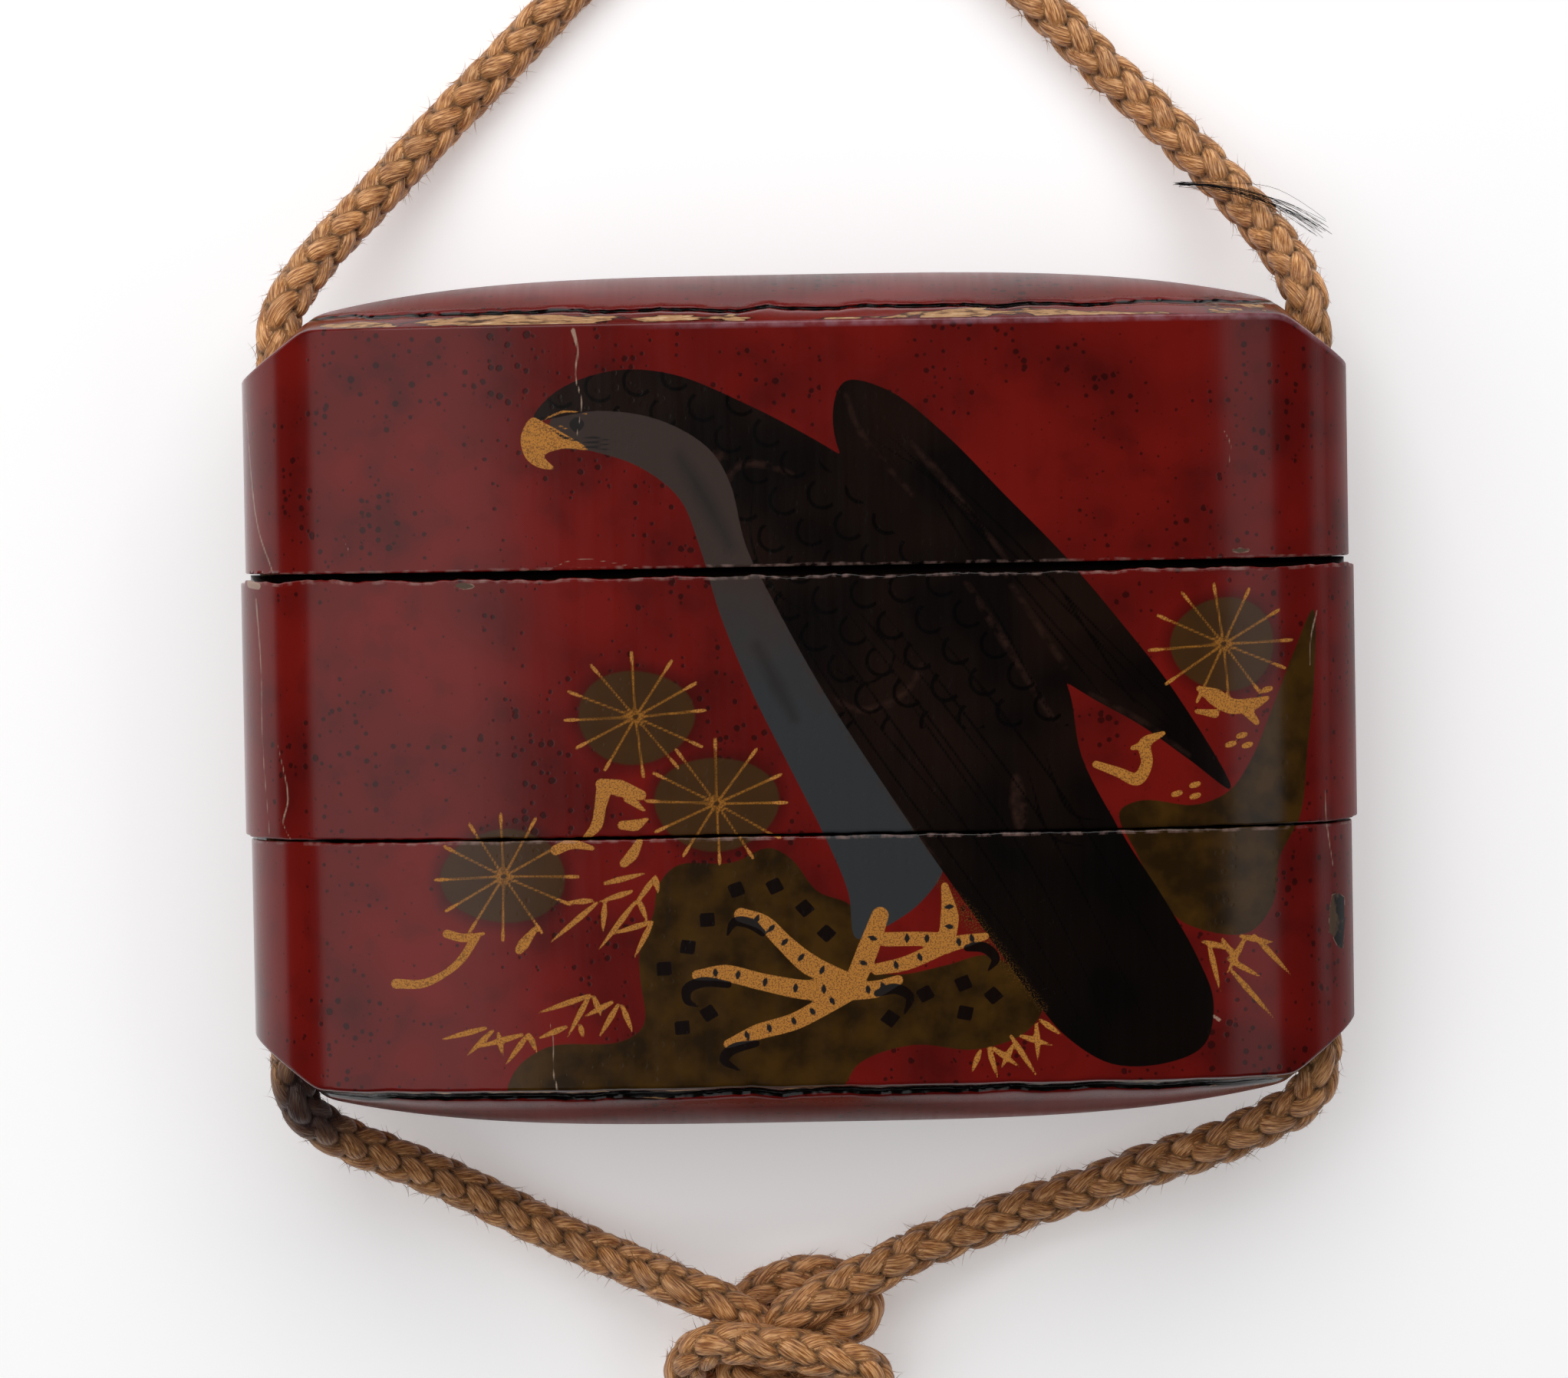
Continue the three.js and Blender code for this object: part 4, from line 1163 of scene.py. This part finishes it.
def climbed(rows, side):
    """Millimetres above the straight edge; it is negative on the straight skin."""
    return side * rows[..., 1] - edge_height(rows[..., 0])


def press_split(rows, side, line_height, width, depth, lift):
    """Presses a fold into the front of a dome, and lifts the loose lacquer beyond it."""
    x, z = rows[..., 0], rows[..., 2]
    above = climbed(rows, side)
    on_front = (z > MIDDLE_Z + 1) & (np.abs(above) < 3)
    off = above - (line_height + wander(x, 2.3, 0.14, 3) + wander(x, 0.7, 0.05, 4))
    fold = np.exp(-(off / width) ** 2)
    flap = np.exp(-np.clip(off, 0, None) / 0.35) * (off > 0.04)
    rows[..., 2] -= np.where(on_front, depth * fold - lift * flap, 0)
    return np.where(on_front, width * 0.9 - np.abs(off), -1.0)


def jag(rows, height, amount, reach, seed, bow=0.0, lean=0.0):
    """Moves the lip of an open seam up and down, less and less away from it. The lean moves all
    of it, and the bow moves it towards the sides, with the square of the distance, more so on
    the left."""
    x, y = rows[..., 0], rows[..., 1]
    shift = wander(x, 1.9, amount, seed) + wander(x, 0.45, amount * 0.5, seed + 1)
    shift += lean + bow * ((x - 7) / UPPER_HALF_WIDTH) ** 2
    held = np.exp(-np.abs(y - height) / reach) * (np.abs(rows[..., 2] - MIDDLE_Z) > 3)
    rows[..., 1] += shift * held


def press_mouths(rows, side):
    """Sinks the skin round the cord, where it leaves the side wall, to make a mouth for it."""
    x, y, z = np.moveaxis(rows, -1, 0)
    away = np.hypot(np.abs(x) - CHANNEL_X, z - MIDDLE_Z)
    sunk = MOUTH_DEPTH * np.clip((MOUTH_RADIUS - away) / MOUTH_EDGE, 0, 1)
    rows[..., 1] -= side * np.where(side * y > PANEL_HALF_HEIGHT - 6, sunk, 0)


press_mouths(lid_rows[-len(DOME_SHARES):], 1)
press_mouths(lower_rows[-len(DOME_SHARES):], -1)
splits = {"lid": press_split(lid_rows, 1, line_height=0.92, width=0.13, depth=0.5, lift=0.14),
          "lower_case": press_split(lower_rows, -1, line_height=0.45, width=0.3, depth=0.7, lift=0.1)}
lips = {"lid": np.abs(lid_rows[..., 1] - LID_EDGE), "upper_case": np.abs(upper_rows[..., 1] - UPPER_TOP),
        "lower_case": np.abs(lower_rows[..., 1] - LOWER_TOP)}
LID_SKIN, UPPER_EDGE, UPPER_MIDDLE, LOWER_EDGE, LOWER_MIDDLE = 10, 8, 70, 9, 60   # first rows
jag(lid_rows[LID_SKIN:], LID_EDGE, amount=0.13, reach=0.5, seed=11, bow=-0.13)
jag(upper_rows[UPPER_EDGE:UPPER_MIDDLE], UPPER_TOP, amount=0.12, reach=0.5, seed=13, bow=0.12)
jag(upper_rows[UPPER_MIDDLE:], UPPER_BOTTOM, amount=0.05, reach=0.3, seed=15, lean=-0.07)
jag(lower_rows[LOWER_EDGE:LOWER_MIDDLE], LOWER_TOP, amount=0.05, reach=0.3, seed=17, lean=0.05)
print("points in the splits", {name: int((split > 0).sum()) for name, split in splits.items()})

# %% Make the three pieces
lid = case_piece("lid_lacquered", lid_rows, True, flip=True)
upper_case = case_piece("upper_case_lacquered", upper_rows, False, flip=False)
lower_case = case_piece("lower_case_lacquered", lower_rows, True, flip=False)


def store_padded(piece, name, values, outside):
    """Keeps values of the grid of a piece; its middle points count as outside."""
    extra = len(piece.data.vertices) - values.size
    store(piece, name, np.concatenate([values.ravel(), np.full(extra, outside)]))


NOT_CLIMBED = -9.0
LIP_DISTANCE, LIP_REACH = 0.1, 0.16
first = 0
for piece, (name, rows, half_width), mask in zip((lid, upper_case, lower_case), PIECES, masks):
    count = int(mask.sum())
    for layer in LAYERS:
        values = np.full(mask.shape, UNPAINTED)
        values[mask] = canvas[layer][first:first + count]
        store_padded(piece, layer, values, UNPAINTED)
    first += count
    x, y, z = np.moveaxis(rows, -1, 0)
    domed = (z > MIDDLE_Z) & (name != "upper_case")
    height = np.where(domed, climbed(rows, -1 if name == "lower_case" else 1), NOT_CLIMBED)
    store_padded(piece, "climbed", height, NOT_CLIMBED)
    store_padded(piece, "split", splits.get(name, np.full(mask.shape, -1.0)), -1.0)
    lip = LIP_REACH - np.abs(lips[name] - LIP_DISTANCE)
    store_padded(piece, "lip", np.where(z > MIDDLE_Z, lip, -1.0), -1.0)
    # painted shade: the faces inside the open seams, close to the seams, are marked to go near black, so
    # that the gaps look dark
    at_seam = (np.abs(y - SEAM_LID) < 0.5) | (np.abs(y - SEAM_LOWER) < 0.3)
    store_padded(piece, "painted_gap_shade", ((section_sum(rows, half_width) < 0.97) & at_seam) * 1.0, 0.0)

# %% [markdown]
# ## Urushi lacquer
# Red lacquer is many coats, ground flat and polished. Old age shows as fine pits where the
# ground has sunk, faint brush lines, and a haze that scatters the light. The painted layers
# go over the red one after the other, each cut off by its own signed distance, and each has
# its own tone and its own grain: gold powder is coarse, black lacquer is smooth.

# %% Lacquer: places and noises
lacquer, tree = new_material("red_urushi_lacquer")
METRE_IN_MM = (1000,) * 3
in_mm = add_node("Mapping", "Vector", {
    "Vector": add_node("TexCoord", "Object", {}), "Scale": METRE_IN_MM})
across_mm = add_node("SeparateXYZ", "X", {"Vector": in_mm})
height_mm = across_mm.other("Y")
broad, patch, fine = noise(in_mm, 0.1, 2.0), noise(in_mm, 0.4, 3.0), noise(in_mm, 1.1, 3.0)
grain = noise(in_mm, 9.0, 1.0)
raggedness = fine - 0.5


def cut(name, soft=0.03, ragged=0.0):
    """Mask of a painted layer, with its edge softened and, if wanted, made ragged."""
    value = attribute(name)
    return ramp(value + raggedness * ragged if ragged else value, -soft, soft)


# %% Lacquer: the red ground with its pits
PIT_SCALE = 1.6
distance = add_node("TexVoronoi", "Distance", {
    "Vector": in_mm, "Scale": PIT_SCALE, "Randomness": 1.0})
chance = add_node("SeparateColor", "Red", {"Color": distance.other("Color")})
radius = ramp(chance, 0.2, 1.0) * ramp(ramp(broad, 0.4, 0.6), 0, 1, 0.07, 0.27)
pits = ramp(radius - distance / PIT_SCALE + raggedness * 0.3, -0.05, 0.03)
red = over("#731510", "#560f0c", ramp(broad, 0.35, 0.65))
red = over(red, "#340b0a", ramp(patch, 0.52, 0.74, 0.0, 0.3))
red = over(red, "#230807", pits * 0.75)

# %% Lacquer: the painted layers
rock = over("#422b0b", "#261807", ramp(patch, 0.35, 0.65))
leafy = over("#4a2f16", "#382412", patch)
breast = over("#33251f", "#292b2d", ramp(height_mm + patch * 8.0, 14.0, 4.0))
breast = over(breast, "#1a1210", ramp(attribute("smudge"), -0.5, 0.4) * 0.8)
plumage = over("#0b0605", "#1b0f0a", ramp(broad, 0.4, 0.6))
plumage = over(plumage, "#060504", ramp(height_mm, -3.0, -13.0, 0.0, 0.7))
gold = over("#ba7a2e", "#80501e", ramp(grain, 0.46, 0.64))
colour = over(red, "#2c0907", ramp(attribute("foliage"), -1.0, 0.0) * 0.55)
for paint, mask in (
        (rock, cut("rock", 0.05)),
        (leafy, cut("foliage", 0.08)),
        (breast, cut("breast", 0.04)),
        (plumage, cut("bird", 0.03)),
        ("#34211a", ramp(attribute("barb"), -0.2, 0.15) * ramp(fine, 0.35, 0.6) * 0.7),
        ("#020101", cut("feather", 0.05) * cut("bird", 0.1) * 0.85),
        ("#64431a", ramp(attribute("dust"), -0.3, 0.5) * ramp(grain, 0.5, 0.62) * 0.8),
        (gold, cut("needle", 0.04) * 0.62),
        (gold, cut("gold", 0.03)),
        ("#110806", cut("mark", 0.03))):
    colour = over(colour, paint, mask)

# %% Lacquer: bare wood, cracks and splits, painted highlights and painted shade
BAND_HALF_WIDTH = 33.5
climb = attribute("climbed")
grainy = noise(in_mm, 1.7, 3.0, (0.4, 1.6, 1.6), 0.65)
wood = over("#4a2a14", "#b3875c", ramp(grainy, 0.36, 0.5))
wood = over(wood, "#d2b08a", ramp(grainy, 0.56, 0.7))
at_bottom = ramp(height_mm, -20.0, -22.0)
thinned = ramp(broad, 0.36, 0.6, 0.2, 0.95)
into_band = least(least(climb - 0.05, thinned - climb), BAND_HALF_WIDTH - maths("ABSOLUTE", across_mm))
patchy = (noise(in_mm, 0.42, 3.0, (0.45, 1.6, 1.6), 0.6) - 0.52) * 2.8 - at_bottom * 0.22
flaked = ramp(least(into_band, 0.3) + least(patchy, 0.1), 0.0, 0.05) * ramp(into_band, 0.0, 0.03)
dark_lip = ramp(into_band + patchy, -0.12, 0.0) * ramp(into_band, -0.04, 0.0)
dark_lip = most(dark_lip, at_bottom * ramp(into_band, -0.04, 0.02))
# painted highlight: a pale violet line just below the front edge of the lid's domed end, left off near the
# bottom, stands for the reflection on the rounded edge
top_edge = ramp(climb, -0.5, -0.25) * ramp(climb, 0.06, -0.02) * ramp(across_mm, -12.0, -4.0)
painted_edge_highlight = top_edge * (1.0 - at_bottom) * ramp(fine, 0.35, 0.6, 0.15, 0.55)
# painted highlight: pale lines along the lips of the open seams on the front stand for light on their
# rounded edges
painted_lip_highlight = ramp(attribute("lip"), 0.0, 0.08) * ramp(fine, 0.45, 0.65)
# the chip on the right side: brown wood inside, and near black past 38 mm across, as painted shade in the
# break
chip_wood_and_shade = over("#4c3826", "#080505", ramp(across_mm + raggedness * 2.0, 38.0, 38.3))
for paint, mask in (
        ("#120605", dark_lip * 0.85),
        (wood, flaked),
        ("#080403", ramp(attribute("split") + raggedness * 0.35, -0.03, 0.02)),
        ("#9a707a", painted_edge_highlight),
        ("#a08078", painted_lip_highlight * 0.42),
        # painted shade: the faces inside the open seams go near black
        ("#0a0504", attribute("painted_gap_shade")),
        ("#b59a86", cut("pale_crack", 0.03, 0.06) * 0.7),
        ("#b59a86", ramp(attribute("chip"), -0.08, -0.03) * ramp(fine, 0.5, 0.62, 0.0, 0.6)),
        (chip_wood_and_shade, cut("chip", 0.03, 0.12))):
    colour = over(colour, paint, mask)

# %% Lacquer: surface
streaks = noise(in_mm, 2.2, 2.0, (1, 0.05, 0.05))
breast_seen = cut("breast") * (1.0 - cut("bird"))
matt = most(most(cut("gold"), flaked), breast_seen)
right_side = ramp(across_mm, 35.8, 37.8)
rubbed = most(ramp(climb, 0.7, 1.7), right_side)
roughness = ramp(streaks, 0.3, 0.7, 0.15, 0.19) + matt * 0.25 + rubbed * 0.16
dulled = most(ramp(at_bottom, 0, 1, 0.12, 0.42), right_side * 0.42)
surface({"Base Color": colour, "Roughness": roughness, "IOR": 1.36,
         "Specular IOR Level": 0.5 - rubbed * dulled,
         "Normal": bump(streaks * 0.08 - pits * 0.2, 0.25, 0.00006)})
for piece, node in ((lid, "lid"), (upper_case, "upper_case"), (lower_case, "lower_case")):
    piece.data.materials.append(lacquer)
    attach(piece, "root")
    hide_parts(node)
print("lacquer has", len(tree.nodes), "nodes")

# %% [markdown]
# ## Floor and light
# A pale plain floor, and soft light from large panels at the sides. A lacquered face that
# looks straight up must see nothing bright, or its colour drowns in a white reflection, so
# the sky is dim and the panels stand to the left, the right and beyond the lid.

# %% Floor and light
paper, tree = new_material("pale_paper_floor")
surface({"Base Color": "#f4f3f4", "Roughness": 0.9, "Emission Color": "#ffffff",
         "Emission Strength": 0.3})
FLOOR_HALF, FLOOR_Z = 2500.0, -0.02
corners = np.array([(-1, -1, 0), (1, -1, 0), (1, 1, 0), (-1, 1, 0)]) * FLOOR_HALF + (0, 0, FLOOR_Z)
floor = make_mesh("floor", corners, np.array([[0, 1, 2, 3]]), material=paper)

world = bpy.data.worlds.new("dim_sky")
bpy.context.scene.world = world
world.use_nodes = True
sky = world.node_tree.nodes["Background"].inputs
sky["Color"].default_value, sky["Strength"].default_value = (1, 1, 1, 1), 0.02


def light_panel(name, place, size, power):
    """A rectangular light at a place in millimetres, turned to face the case."""
    data = bpy.data.lights.new(name, "AREA")
    data.shape = "RECTANGLE"
    data.size, data.size_y = size[0] * MM, size[1] * MM
    data.energy = power
    lamp = bpy.data.objects.new(name, data)
    z_axis = np.asarray(place, float) / np.linalg.norm(place)
    x_axis = np.cross((0, 1, 0), z_axis)
    x_axis /= np.linalg.norm(x_axis)
    pose = np.eye(4)
    pose[:3, :3] = np.stack([x_axis, np.cross(z_axis, x_axis), z_axis], 1)
    pose[:3, 3] = np.asarray(place) * MM
    lamp.matrix_world = Matrix(pose.tolist())
    bpy.context.scene.collection.objects.link(lamp)


light_panel("left_panel", (-380, 60, 590), (700, 900), 2.4)
light_panel("right_panel", (480, 40, 520), (280, 800), 0.6)
light_panel("far_panel", (40, 560, 560), (900, 500), 4.2)
